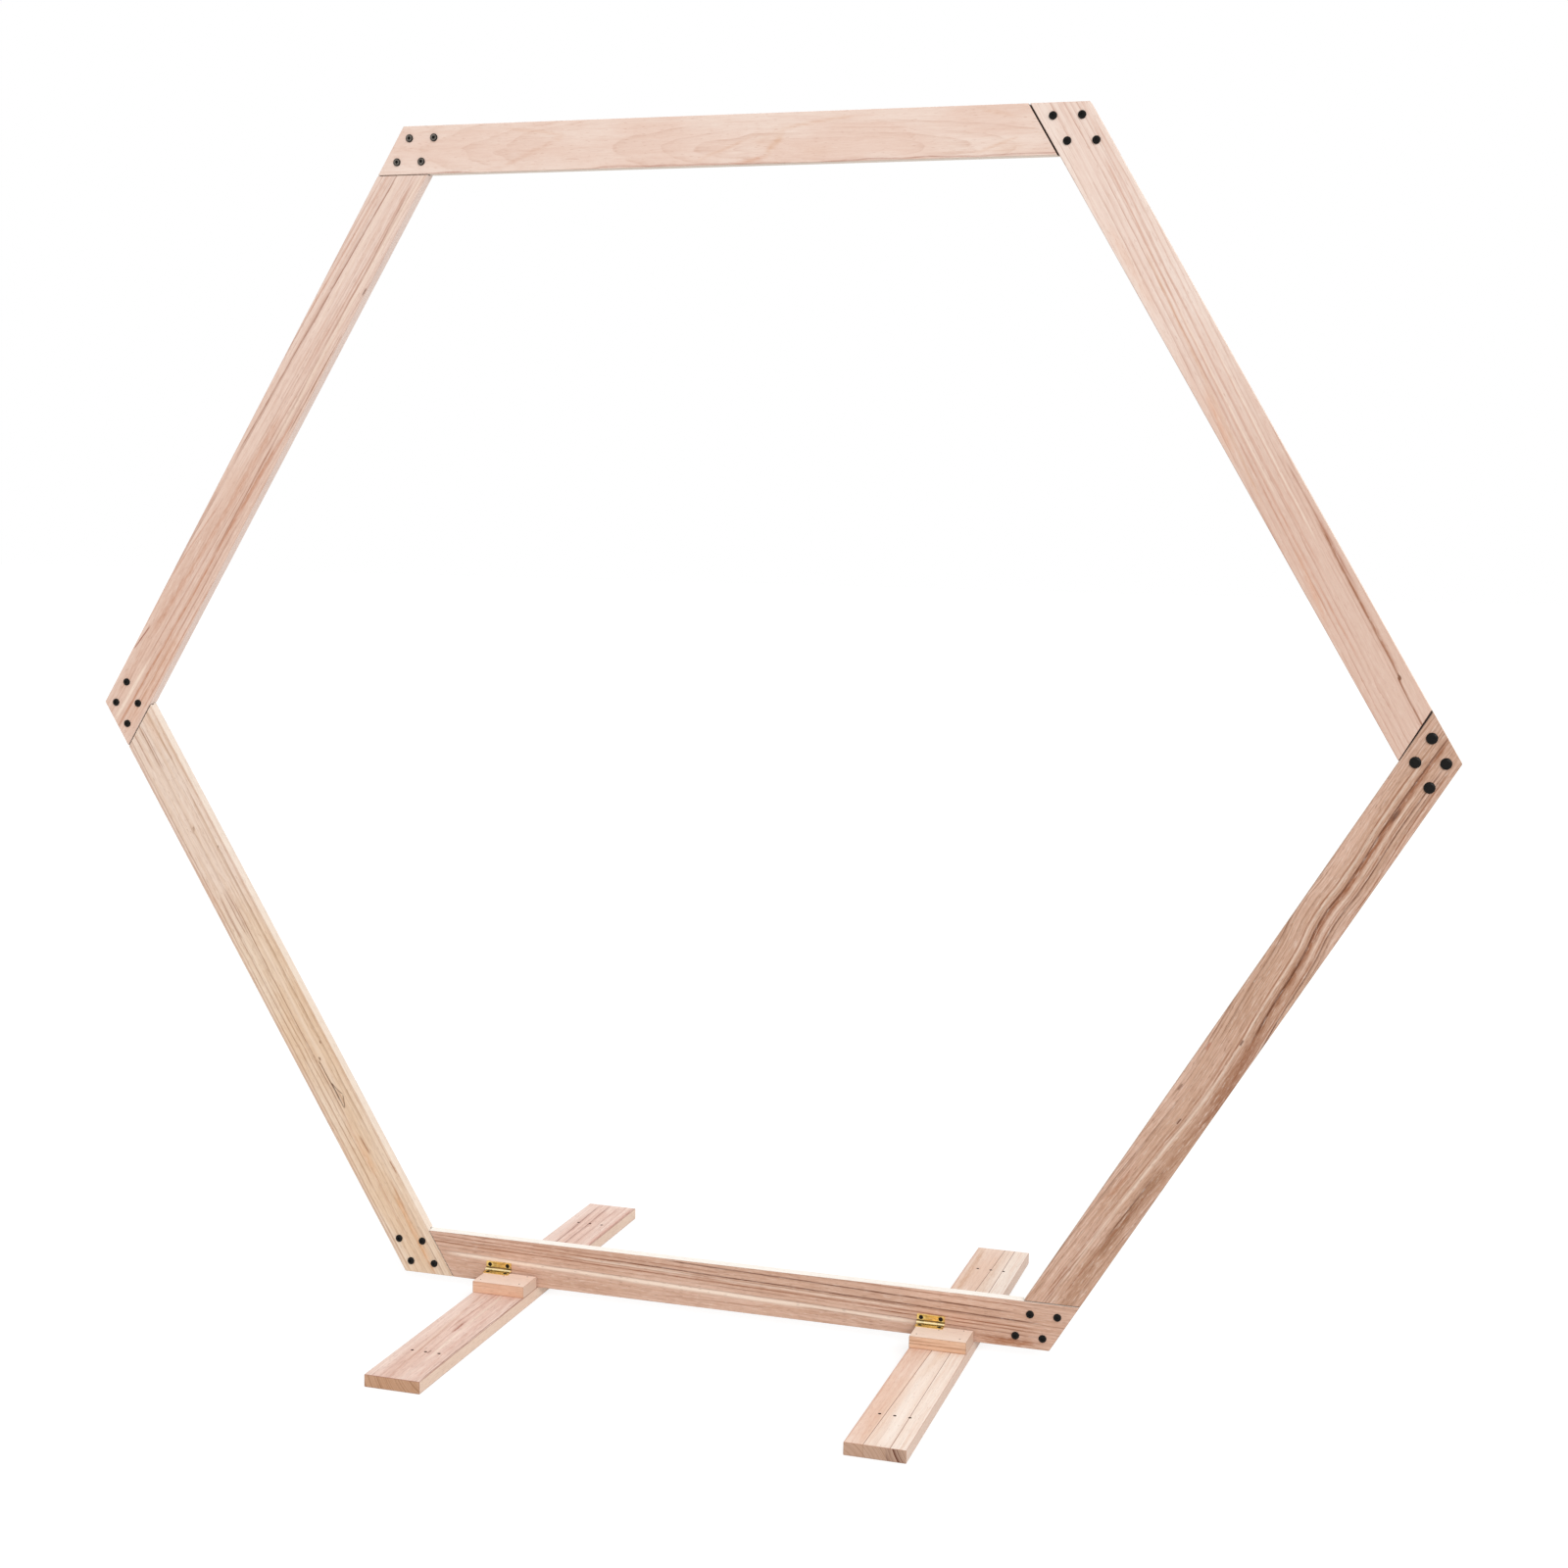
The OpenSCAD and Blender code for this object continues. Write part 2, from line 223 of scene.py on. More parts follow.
def make_ring_lines():
    """Year rings round a pith beside or under the board, cut by its faces."""
    tree, b, given, out = open_group("year_rings", [
        ("Place", "Vector", None), ("Pith across", "Float", -80.0), ("Pith depth", "Float", 30.0),
        ("Lean across", "Float", 0.0), ("Lean in depth", "Float", 0.0), ("Ring width", "Float", 6.0),
        ("Unevenness", "Float", 0.4), ("Sharpness", "Float", 6.0), ("Seed", "Float", 0.0),
    ], [("Line", "Float"), ("Tone", "Float")])
    x, y, z = b.split(given["Place"])
    across = b.sum("SUBTRACT", b.sum("SUBTRACT", y, given["Pith across"]), b.sum("MULTIPLY", x, given["Lean across"]))
    depth = b.sum("SUBTRACT", b.sum("SUBTRACT", z, given["Pith depth"]), b.sum("MULTIPLY", x, given["Lean in depth"]))
    radius = b.sum("SQRT", b.sum("ADD", b.sum("MULTIPLY", across, across), b.sum("MULTIPLY", depth, depth)))
    rings = b.sum("DIVIDE", radius, given["Ring width"])
    wobble = b.put("ShaderNodeTexNoise", {"W": b.sum("ADD", b.sum("MULTIPLY", rings, 0.45), given["Seed"]),
                                          "Scale": 1.0, "Detail": 1.0}, noise_dimensions="1D").outputs[0]
    rings = b.sum("ADD", rings, b.sum("MULTIPLY", wobble, b.sum("MULTIPLY", given["Unevenness"], 4.0)))
    count = b.sum("FLOOR", rings)
    part = b.sum("SUBTRACT", rings, count)
    own = b.put("ShaderNodeTexWhiteNoise", {"W": b.sum("ADD", count, given["Seed"])}, noise_dimensions="1D").outputs[0]
    late = b.sum("POWER", part, given["Sharpness"])
    closing = b.ease(part, 1.0, 0.93)
    soft = b.sum("MULTIPLY", b.sum("POWER", part, 1.7), 0.3)
    dark = b.sum("MULTIPLY", b.sum("ADD", b.sum("MULTIPLY", late, 0.8), soft), closing)
    line = b.sum("MULTIPLY", dark, b.sum("ADD", 0.2, b.sum("MULTIPLY", own, 1.0)))
    b.feed(out["Line"], line)
    b.feed(out["Tone"], own)
    return tree


def make_streak():
    """A darker or paler band that follows the grain from one place to another."""
    tree, b, given, out = open_group("streak", [
        ("Place", "Vector", None), ("Fibre", "Float", 0.5), ("From", "Float", 0.0), ("To", "Float", 1000.0),
        ("Across at start", "Float", 20.0), ("Across at end", "Float", 20.0), ("Bow", "Float", 0.0),
        ("Half width", "Float", 3.0), ("Fade", "Float", 60.0), ("Strength", "Float", 0.5),
        ("Fibrous", "Float", 0.6),
    ], [("Amount", "Float")])
    x, y, _ = b.split(given["Place"])
    run = b.sum("DIVIDE", b.sum("SUBTRACT", x, given["From"]), b.sum("SUBTRACT", given["To"], given["From"]), clamp=True)
    bow = b.sum("MULTIPLY", b.sum("MULTIPLY", given["Bow"], 4.0), b.sum("MULTIPLY", run, b.sum("SUBTRACT", 1.0, run)))
    middle = b.sum("ADD", bow, b.sum("ADD", given["Across at start"], b.sum(
        "MULTIPLY", run, b.sum("SUBTRACT", given["Across at end"], given["Across at start"]))))
    off = b.sum("DIVIDE", b.sum("SUBTRACT", y, middle), given["Half width"])
    band = b.sum("EXPONENT", b.sum("MULTIPLY", b.sum("MULTIPLY", off, off), -1.0))
    opening = b.ease(x, given["From"], b.sum("ADD", given["From"], given["Fade"]))
    ending = b.ease(x, given["To"], b.sum("SUBTRACT", given["To"], given["Fade"]))
    breakup_or_highlight = b.sum("ADD", 1.0, b.sum("MULTIPLY", given["Fibrous"], b.sum(
        "MULTIPLY", b.sum("SUBTRACT", given["Fibre"], 0.5), 4.0)))
    amount = b.sum("MULTIPLY", b.sum("MULTIPLY", band, given["Strength"]), b.sum("MULTIPLY", opening, ending))
    b.feed(out["Amount"], b.sum("MULTIPLY", amount, breakup_or_highlight, clamp=True))
    return tree


def make_knot():
    """A knot: how dark its core is, and how far the grain is pushed aside round it."""
    tree, b, given, out = open_group("knot", [
        ("Place", "Vector", None), ("Along", "Float", 300.0), ("Across", "Float", 30.0),
        ("Half length", "Float", 8.0), ("Half width", "Float", 4.0), ("Slant", "Float", 0.0), ("Reach", "Float", 3.0),
        ("Strength", "Float", 0.8),
    ], [("Core", "Float"), ("Place", "Vector")])
    x, y, z = b.split(given["Place"])
    dx = b.sum("SUBTRACT", x, given["Along"])
    dy = b.sum("SUBTRACT", b.sum("SUBTRACT", y, given["Across"]), b.sum("MULTIPLY", dx, given["Slant"]))
    u = b.sum("DIVIDE", dx, given["Half length"])
    v = b.sum("DIVIDE", dy, given["Half width"])
    ragged = b.noise(b.stretch(given["Place"], 9.0, 2.5), detail=2.0)
    apart = b.sum("ADD", b.sum("MULTIPLY", u, u), b.sum("MULTIPLY", v, v))
    apart = b.sum("MULTIPLY", apart, b.ease(ragged, 0.3, 0.7, 0.4, 1.9))
    reach = b.sum("MULTIPLY", given["Reach"], given["Reach"])
    pull = b.sum("EXPONENT", b.sum("DIVIDE", b.sum("MULTIPLY", apart, -1.0), reach))
    shifted = b.sum("SUBTRACT", y, b.sum("MULTIPLY", b.sum("MULTIPLY", dy, pull), 0.75))
    rim = b.sum("EXPONENT", b.sum("MULTIPLY", b.sum("POWER", b.sum("SUBTRACT", b.sum("SQRT", apart), 0.85), 2.0), -22.0))
    heart = b.ease(apart, 1.0, 0.0)
    dark = b.sum("ADD", b.sum("MULTIPLY", rim, 0.6), b.sum("MULTIPLY", heart, 0.95))
    b.feed(out["Core"], b.sum("MULTIPLY", dark, given["Strength"], clamp=True))
    b.feed(out["Place"], b.join(x, shifted, z))
    return tree


RING_LINES = make_ring_lines()
STREAK = make_streak()
KNOT = make_knot()


def use_group(b, tree, values, **named):
    node = b.put("ShaderNodeGroup", node_tree=tree)
    for label, value in {**values, **named}.items():
        b.feed(node.inputs[label], value)
    return node.outputs


def grain_flow(b, at, wood, seed):
    """Where a spot lies in the log: the board's own bend, slow and quick drifts and the push of its knots."""
    x = b.split(at)[0]
    grain = at
    for along, across, reach in ((170.0, 60.0, wood["drift"]), (48.0, 13.0, wood["drift"] * 0.3)):
        drift = b.noise(b.stretch(at, along, across, seed * 37.0 + along), detail=2.0, plain=False)
        drift = b.vector("SUBTRACT", drift, (0.5, 0.5, 0.5))
        grain = b.vector("ADD", grain, b.vector("MULTIPLY", drift, (0.0, reach, reach)))
    if "flow" in wood:
        bend = b.put("ShaderNodeFloatCurve", {"Value": b.sum("DIVIDE", x, BOARD_LENGTH)})
        points = bend.mapping.curves[0].points
        spots = [(along / BOARD_LENGTH, 0.5 + off / 100.0) for along, off in wood["flow"]]
        points[0].location, points[1].location = spots[0], spots[-1]
        for spot in spots[1:-1]:
            points.new(*spot)
        bend.mapping.update()
        lift = b.sum("MULTIPLY", b.sum("SUBTRACT", bend.outputs[0], 0.5), -100.0)
        grain = b.vector("ADD", grain, b.join(0.0, lift, 0.0))
    for knot in wood.get("knots", ()):
        grain = use_group(b, KNOT, knot, Place=grain)["Place"]
    return grain


def glue_seams(b, at, grain, wood):
    """Strips glued edge to edge: how much of each spot is past a seam, the seam lines and the grain there."""
    x, y, _ = b.split(at)
    past, lines = [], []
    for across, lean, _, _, shift in wood.get("seams", ()):
        off = b.sum("SUBTRACT", b.sum("SUBTRACT", y, across), b.sum("MULTIPLY", x, lean))
        mask = b.ease(off, -0.25, 0.25)
        grain = b.vector("ADD", grain, b.vector("MULTIPLY", b.join(mask, mask, mask), shift))
        past.append(mask)
        lines.append(b.ease(b.sum("ABSOLUTE", off), 0.8, 0.2))
    return grain, past, lines


def lay_rings(b, colour, grain, wear, rings, plain):
    """Lays one set of year rings over a colour, where its window across the board lets it show."""
    values = {k: v for k, v in rings.items() if k not in ("strength", "colour", "window")}
    amount = b.sum("MULTIPLY", use_group(b, RING_LINES, values, Place=grain)["Line"], rings["strength"])
    if wear is not None:
        amount = b.sum("MULTIPLY", amount, wear)
    if "window" in rings:
        low, high = rings["window"]
        y = b.split(grain)[1]
        inside = b.sum("MULTIPLY", b.ease(y, low - 2, low + 2), b.ease(y, high + 2, high - 2))
        amount = b.sum("MULTIPLY", amount, inside)
    return b.blend(b.sum("MINIMUM", amount, 1.0), colour, paint(*rings.get("colour", plain)))


def lay_marks(b, colour, grain, fibre, mottle, marks):
    """Lays a board's own streaks: thin ones are broken up by the fibre, broad ones by the mottling."""
    for start, end, y0, y1, bow, half, strength, tint, *rest in marks:
        values = {"From": start, "To": end, "Across at start": y0, "Across at end": y1, "Bow": bow,
                  "Half width": half, "Strength": strength, "Fade": rest[0] if rest else 50.0}
        made = use_group(b, STREAK, values, Place=grain, Fibre=mottle if half > 1.6 else fibre)
        colour = b.blend(made["Amount"], colour, paint(*tint))
    return colour


def base_tone(b, at, grain, past, wood, seed):
    """The board's colour before its rings: clouds, a change of tone along it, glued strips and silky bands."""
    cloud = b.noise(b.stretch(grain, 150.0, 45.0, seed + 90.0), detail=2.0)
    silk = b.noise(b.stretch(grain, 220.0, 4.0, seed + 50.0), detail=3.0, rough=0.6)
    colour = b.blend(b.ease(cloud, 0.36, 0.62), paint(*wood["pale"]), paint(*wood["warm"]))
    if "far" in wood:
        start, end, tint, amount = wood["far"]
        colour = b.blend(b.ease(b.split(at)[0], start, end, 0.0, amount), colour, paint(*tint))
    for (_, _, tint, amount, _), mask in zip(wood.get("seams", ()), past):
        colour = b.blend(b.sum("MULTIPLY", mask, amount), colour, paint(*tint))
    return b.blend(b.ease(silk, 0.42, 0.70, 0.0, wood["silk"]), colour, paint(*wood["silk_colour"]))


def planed_face(b, at, wood):
    """The colour of a board's faces, and the height of its fibres and pores."""
    seed = wood["seed"]
    grain = grain_flow(b, at, wood, seed)
    grain, past, seams = glue_seams(b, at, grain, wood)
    fibre = b.noise(b.stretch(grain, 38.0, 0.8, seed), detail=3.0, rough=0.62)
    mottle = b.noise(b.stretch(grain, 17.0, 2.3, seed + 70.0), detail=3.0, rough=0.7)
    fading = b.noise(b.stretch(grain, 130.0, 9.0, seed + 30.0), detail=1.0)

    colour = base_tone(b, at, grain, past, wood, seed)
    wear = b.sum("MULTIPLY", b.ease(fibre, 0.25, 0.58, 0.4, 1.0), b.ease(fading, 0.34, 0.56, 0.35, 1.1))
    for rings in wood["rings"]:
        colour = lay_rings(b, colour, grain, wear, rings, wood["line"])
    colour = lay_marks(b, colour, grain, fibre, mottle, wood.get("marks", ()))

    dash = b.put("ShaderNodeTexVoronoi", {"Vector": b.stretch(grain, 15.0, 2.2, seed + 20.0), "Scale": 1.0})
    rare = b.ease(b.split(dash.outputs["Color"])[0], 0.42, 0.36)
    pore = b.sum("MULTIPLY", b.ease(dash.outputs["Distance"], 0.28, 0.12), rare)
    textures = {"fibre": fibre, "mottle": mottle, "pore": pore}
    colour = lay_texture(b, colour, textures, wood, 1.0)
    for knot in wood.get("knots", ()):
        core = use_group(b, KNOT, knot, Place=at)["Core"]
        colour = b.blend(core, colour, paint(*wood.get("knot_colour", KNOT_BROWN)))
    for seam in seams:
        colour = b.blend(b.sum("MULTIPLY", seam, 0.85), colour, paint(*wood.get("glue", GLUE_BROWN)))
    height = b.sum("ADD", b.sum("MULTIPLY", fibre, 0.6), b.sum("MULTIPLY", pore, -0.5))
    return colour, height, textures


def lay_texture(b, colour, textures, wood, share):
    """Pores, fibres and mottling over a colour, darker and paler by turns."""
    line_colour = paint(*wood["line"])
    colour = b.blend(b.sum("MULTIPLY", textures["pore"], wood["flecks"] * share), colour, line_colour)
    for kind in ("fibre", "mottle"):
        amount = wood[kind] * share
        colour = b.blend(b.ease(textures[kind], 0.50, 0.74, 0.0, amount), colour, line_colour)
        colour = b.blend(b.ease(textures[kind], 0.48, 0.24, 0.0, amount * 0.9), colour, paint(*BLOND))
    return colour


def facing(b, normal, way):
    """How far a face looks along a direction, from 0 to 1, with a clean change between faces."""
    return b.ease(b.sum("ABSOLUTE", b.vector("DOT_PRODUCT", normal, tuple(way))), 0.72, 0.86)


def timber(name, place, wood):
    """A planed board's finish. place is (origin, along, across, depth); wood holds its colours and marks, some of them
    painted light and shade.
    """
    material = bpy.data.materials.new(name)
    material.use_nodes = True
    material.node_tree.nodes.clear()
    b = Bench(material.node_tree)
    origin, along, across, depth = place
    turned = Matrix((along, across, depth)).transposed().to_euler()
    coordinates = b.put("ShaderNodeTexCoord").outputs
    at = b.put("ShaderNodeMapping", {"Vector": coordinates["Object"], "Location": origin, "Rotation": turned,
                                     "Scale": (MM, MM, MM)}, vector_type="TEXTURE").outputs[0]
    colour, height, textures = planed_face(b, at, wood)

    # Side faces take a tone of their own; for the blocks and the bottom rail these are their tops and bottoms. The tone
    # is partly the different look of edge grain and partly painted light, paler where the lamps would make a side look
    # paler.
    side = b.blend(wood.get("edge_pale", 0.7), colour, paint(*wood.get("edge", (251, 238, 224))))
    side = lay_texture(b, side, textures, wood, 0.55)
    colour = b.blend(facing(b, coordinates["Normal"], across), colour, side)
    end = b.blend(wood.get("end_cover", 0.6), colour, paint(*wood.get("end", wood["silk_colour"])))
    for rings in wood.get("end_rings", ()):
        end = lay_rings(b, end, at, None, rings, wood["line"])
    colour = b.blend(facing(b, coordinates["Normal"], along), colour, end)
    # Each board's arris share darkens its rounded edges. This is partly the real darkening of handled edges and partly
    # painted shade for the thin shadow lines along edges and contacts.
    # Faces picked by dark_cut take SHADE_BROWN at 0.9: painted shade inside the lap gaps and the peg holes.
    for mark, amount, tint in (("arris", wood.get("arris", 0.25), wood["line"]), ("dark_cut", 0.9, SHADE_BROWN)):
        share = b.put("ShaderNodeAttribute", attribute_name=mark).outputs["Fac"]
        colour = b.blend(b.sum("MULTIPLY", share, amount), colour, paint(*tint))

    bump = b.put("ShaderNodeBump", {"Strength": 0.18, "Distance": 0.0006, "Height": height}).outputs[0]
    surface = b.put("ShaderNodeBsdfPrincipled", {
        "Base Color": colour, "Roughness": b.ease(textures["fibre"], 0.2, 0.8, 0.52, 0.68), "Normal": bump,
        "Specular IOR Level": 0.3})
    b.put("ShaderNodeOutputMaterial", {0: surface.outputs[0]})
    return material


def straight(across, depth, width, strength, lean=0.0, seed=0.0, sharp=6.0, uneven=0.4, **more):
    """Rings that show as nearly parallel lines on the face."""
    return {"Pith across": across, "Pith depth": depth, "Lean across": lean, "Lean in depth": 0.0, "Ring width": width,
            "Unevenness": uneven, "Sharpness": sharp, "Seed": seed, "strength": strength, **more}


def arched(across, depth, lean, width, strength, seed=0.0, sharp=5.0, uneven=0.4, lean_across=0.0, **more):
    """Rings of a flat-sawn board, which show as long arches on the face."""
    return {"Pith across": across, "Pith depth": depth, "Lean across": lean_across, "Lean in depth": lean,
            "Ring width": width, "Unevenness": uneven, "Sharpness": sharp, "Seed": seed, "strength": strength, **more}


def knot(along, across, half_length, half_width, slant=0.0, reach=2.5, strength=0.6):
    return {"Along": along, "Across": across, "Half length": half_length, "Half width": half_width, "Slant": slant,
            "Reach": reach, "Strength": strength}


# Tints of single marks in the grain.
REDDISH = (200, 148, 124)
TAN = (216, 170, 138)
BROWN = (148, 92, 60)
DARK = (100, 54, 28)
CREAM = (248, 228, 210)
BLOND = (255, 245, 234)
KNOT_BROWN = (116, 72, 46)
GLUE_BROWN = (150, 104, 80)
# Painted shade, laid on the walls of the lap gaps and the peg holes.
SHADE_BROWN = (46, 32, 25)

# Every board's colours and marks, some of them painted light and shade, in millimetres along and across it from its
# first outer corner.
# A mark is (from, to, across at start, across at end, bow, half width, strength, tint, fade).
# A seam is (across, lean, tint past it, amount, shift of the grain past it).
WOODS = {
    "top_rail": {
        "seed": 1.0, "pale": (239, 217, 204), "warm": (234, 206, 191), "silk_colour": (226, 192, 174),
        "line": (200, 154, 130), "silk": 0.34, "flecks": 0.36, "fibre": 0.12, "mottle": 0.16, "drift": 14.0,
        "edge_pale": 0.85,
        "rings": [arched(40.0, -84.0, 0.12, 11.0, 0.42, seed=3.0, uneven=0.9, lean_across=0.02)],
        "marks": [
            (150, 275, 72, 22, 0, 3.0, 0.3, (210, 162, 134), 40), (160, 290, 6, 24, 0, 2.4, 0.26, TAN, 40),
            (250, 275, 26, 27, 0, 4.0, 0.25, TAN, 12), (270, 300, 57, 57, 0, 0.8, 0.5, REDDISH, 8),
            (470, 600, 74, 24, 0, 2.4, 0.28, TAN, 50), (530, 612, 76, 58, 3, 3.0, 0.42, (210, 152, 120), 30),
            (590, 628, 64, 28, 0, 6.5, 0.42, (214, 166, 128), 14), (612, 740, 28, 6, -3, 2.6, 0.34, TAN, 30),
            (560, 640, 50, 20, 0, 9.0, 0.16, TAN, 30), (630, 720, 60, 55, 0, 9.0, 0.14, TAN, 40),
            (900, 985, 2, 20, 0, 2.6, 0.28, TAN, 30), (905, 988, 72, 44, 0, 2.8, 0.28, TAN, 30),
            (930, 1000, 66, 60, 0, 7.0, 0.22, TAN, 30), (0, 340, 12, 8, 0, 8.0, 0.14, (222, 180, 158)),
            # The full-length mark at 72.5 across is painted shade: a thin line along the lower edge, where the
            # underside turns away from the light.
            (0, 1080, 72.5, 72.5, 0, 1.0, 0.6, (176, 124, 108)),
        ],
    },
    "upper_right_leg": {
        "seed": 2.0, "pale": (243, 224, 212), "warm": (239, 216, 203), "silk_colour": (228, 192, 174),
        "line": (186, 136, 114), "silk": 0.38, "flecks": 0.3, "fibre": 0.14, "mottle": 0.2, "drift": 4.0,
        "far": (240, 660, (220, 188, 170), 0.92),
        "flow": [(0, 0), (120, 1), (300, 8), (600, 20), (760, 25), (1080, 34)],
        "rings": [straight(-46.0, 12.0, 8.0, 0.7, seed=5.0, sharp=4.0)],
        "marks": [
            (0, 700, 7, 4, 0, 1.3, 0.42, REDDISH), (0, 760, 12, 12, 4, 1.4, 0.45, REDDISH),
            (60, 900, 20, 24, 5, 1.5, 0.6, (204, 152, 128)), (240, 860, 32, 32, 2, 1.4, 0.5, REDDISH),
            (200, 640, 29, 44, 0, 2.0, 0.4, TAN), (150, 320, 60, 54, 0, 6.0, 0.3, (226, 178, 150)),
            (420, 560, 42, 50, 0, 4.5, 0.42, (222, 166, 132)), (660, 940, -13.5, -14, 0, 2.6, 0.7, (174, 122, 94), 40),
            (700, 940, -14, -12.5, 0, 1.2, 0.75, BROWN, 8), (928, 1030, -11, -10, 0, 1.3, 0.9, BROWN, 6),
            (580, 800, -12, -19, 0, 1.5, 0.55, (168, 112, 88), 30), (690, 830, 30, 42, 0, 3.4, 0.4, (218, 160, 126)),
            (380, 720, 3, 1, 0, 1.2, 0.5, CREAM), (300, 640, 25, 22, 0, 1.3, 0.5, CREAM),
        ],
        "knots": [knot(931, 16, 4.0, 2.4, reach=3.5, strength=0.9)],
    },
    "lower_right_leg": {
        "seed": 3.0, "pale": (216, 179, 158), "warm": (207, 168, 144), "silk_colour": (180, 138, 111),
        "line": (124, 82, 57), "silk": 0.62, "flecks": 0.5, "fibre": 0.24, "mottle": 0.34, "drift": 3.0,
        "flow": [(0, 0), (113, 1.5), (233, -2), (283, 0.5), (360, -8), (443, -12), (527, -18), (613, -20),
                 (720, -14), (860, -6), (1080, 4)],
        "rings": [straight(-62.0, 14.0, 6.0, 0.95, seed=7.0, sharp=4.0)],
        "marks": [
            (-40, 430, 34, 34, 0, 4.6, 0.85, (158, 104, 74)), (-40, 430, 37, 36, 0, 1.3, 0.9, DARK),
            (60, 480, 31, 33, 0, 1.1, 0.7, BROWN), (96, 126, 33, 33, 0, 3.2, 0.9, DARK, 12),
            (330, 640, 33, 33, 0, 7.0, 0.75, (158, 108, 78)), (330, 520, 36, 34, 0, 1.6, 0.95, DARK),
            (540, 1060, 31, 19, 0, 9.0, 0.5, (160, 114, 84)), (0, 640, 17, 17, 0, 1.1, 0.85, DARK),
            (40, 640, 21, 21, 0, 1.0, 0.6, BROWN), (460, 680, 27, 24, 0, 5.0, 0.7, (148, 96, 66)),
            (0, 300, 8, 4, 0, 1.0, 0.8, BROWN), (0, 760, 49, 49, 0, 1.0, 0.75, BROWN),
            (0, 840, 45.5, 45.5, 0, 1.5, 0.45, CREAM), (40, 400, 26, 26, 0, 1.4, 0.35, CREAM),
            (500, 1000, 54, 50, 0, 1.3, 0.6, BROWN), (560, 1000, 49, 44, 0, 2.8, 0.3, CREAM),
            (730, 920, 29, 25, 0, 6.0, 0.55, (146, 104, 74), 30), (740, 900, 33, 30, 0, 1.1, 0.75, DARK),
            (760, 1010, 24, 31, 0, 1.4, 0.7, BROWN), (900, 1040, 45, 49, 0, 1.1, 0.8, BROWN),
            (930, 1040, 51, 53, 0, 1.1, 0.7, BROWN), (0, 1080, 1.5, 1.5, 0, 1.2, 0.4, (176, 128, 104)),
            (740, 860, 64, 66, 0, 3.4, 0.6, (174, 120, 88)), (505, 517, 46, 46, 0, 1.6, 0.9, DARK, 3),
            (657, 670, 56, 56, 0, 1.6, 0.9, DARK, 3), (612, 626, 85, 85, 0, 1.5, 0.8, DARK, 3),
            (535, 552, 84, 84, 0, 1.8, 0.8, (170, 104, 78), 4), (0, 60, 44, 42, 0, 1.2, 0.6, BROWN),
        ],
    },
    "bottom_rail": {
        "seed": 4.0, "pale": (218, 181, 160), "warm": (211, 171, 148), "silk_colour": (190, 148, 122),
        "line": (132, 90, 70), "silk": 0.5, "flecks": 0.45, "fibre": 0.2, "mottle": 0.3, "drift": 2.5,
        # The near-white edge tone is painted light: it makes the top face stand nearly white, as under the lamps.
        "flow": [(0, 0), (540, 13), (1080, 26)], "edge": (255, 249, 240), "edge_pale": 0.92,
        "rings": [straight(-48.0, 10.0, 9.0, 0.9, seed=9.0, sharp=5.0, window=(20, 90)),
                  straight(-80.0, 40.0, 7.0, 0.45, seed=10.0, window=(-30, 18))],
        "marks": [
            (0, 1040, 19, 19, 0, 1.0, 0.8, (140, 94, 74)), (190, 1020, 15, 16, 0, 3.4, 0.85, CREAM),
            (380, 720, 12, 12, 3, 2.6, 0.6, CREAM), (0, 1080, 31, 33, 0, 1.1, 0.8, BROWN),
            (0, 760, 41, 43, 0, 1.2, 0.9, DARK), (640, 1080, 42, 44, 0, 1.0, 0.7, BROWN),
            (40, 640, 53, 56, 0, 1.2, 0.85, DARK), (0, 300, 26, 26, 0, 1.0, 0.7, BROWN),
            (420, 1050, 36, 37, 0, 0.9, 0.6, BROWN), (500, 1050, 48, 50, 0, 1.0, 0.6, BROWN),
            (0, 440, 64, 66, 0, 1.0, 0.6, BROWN), (0, 130, 7, 5, 0, 8.0, 0.85, (170, 114, 80)),
            (0, 130, 9, 10, 0, 1.3, 0.8, BROWN), (240, 420, 7, 6, 0, 7.0, 0.36, (186, 142, 116)),
            (690, 860, -3, -5, 0, 7.0, 0.4, (186, 142, 116)), (250, 400, 12, 12, 0, 1.0, 0.5, BROWN),
            (560, 800, 38, 39, 0, 2.0, 0.5, CREAM), (200, 560, 36, 37, 0, 1.6, 0.4, CREAM),
            (820, 1000, 2, 6, 0, 1.0, 0.5, BROWN), (420, 640, 4, -2, 0, 1.0, 0.4, BROWN),
        ],
    },
    "lower_left_leg": {
        "seed": 5.0, "pale": (234, 211, 188), "warm": (228, 199, 170), "silk_colour": (210, 173, 138),
        "edge": (238, 224, 210),
        "line": (156, 112, 80), "silk": 0.45, "flecks": 0.4, "fibre": 0.18, "mottle": 0.24, "drift": 4.0,
        "far": (560, 740, (234, 212, 197), 0.85),
        "rings": [straight(-64.0, 16.0, 9.0, 0.65, seed=11.0, sharp=4.0)],
        "marks": [
            # The first mark, a full-length line 3 mm in from the outer edge, is painted shade along that edge.
            (0, 1080, 3, 3, 0, 1.6, 0.55, (188, 150, 134)), (0, 1080, 7, 7, 1, 1.0, 0.5, (180, 138, 114)),
            (120, 700, 20, 17, 0, 1.0, 0.65, (160, 112, 82)), (150, 560, 29, 26, 0, 1.0, 0.55, (166, 118, 86)),
            (240, 700, 37, 40, -2, 1.0, 0.7, (150, 102, 74)), (196, 236, 43, 43, 0, 1.2, 0.9, BROWN, 10),
            (-40, 130, 47, 50, 0, 3.4, 0.6, (218, 162, 114), 30), (150, 250, 36, 36, 0, 6.0, 0.4, (226, 172, 124)),
            (60, 160, 52, 56, 0, 1.6, 0.6, (184, 128, 88)), (146, 176, 71, 71, 0, 1.2, 0.9, BROWN, 8),
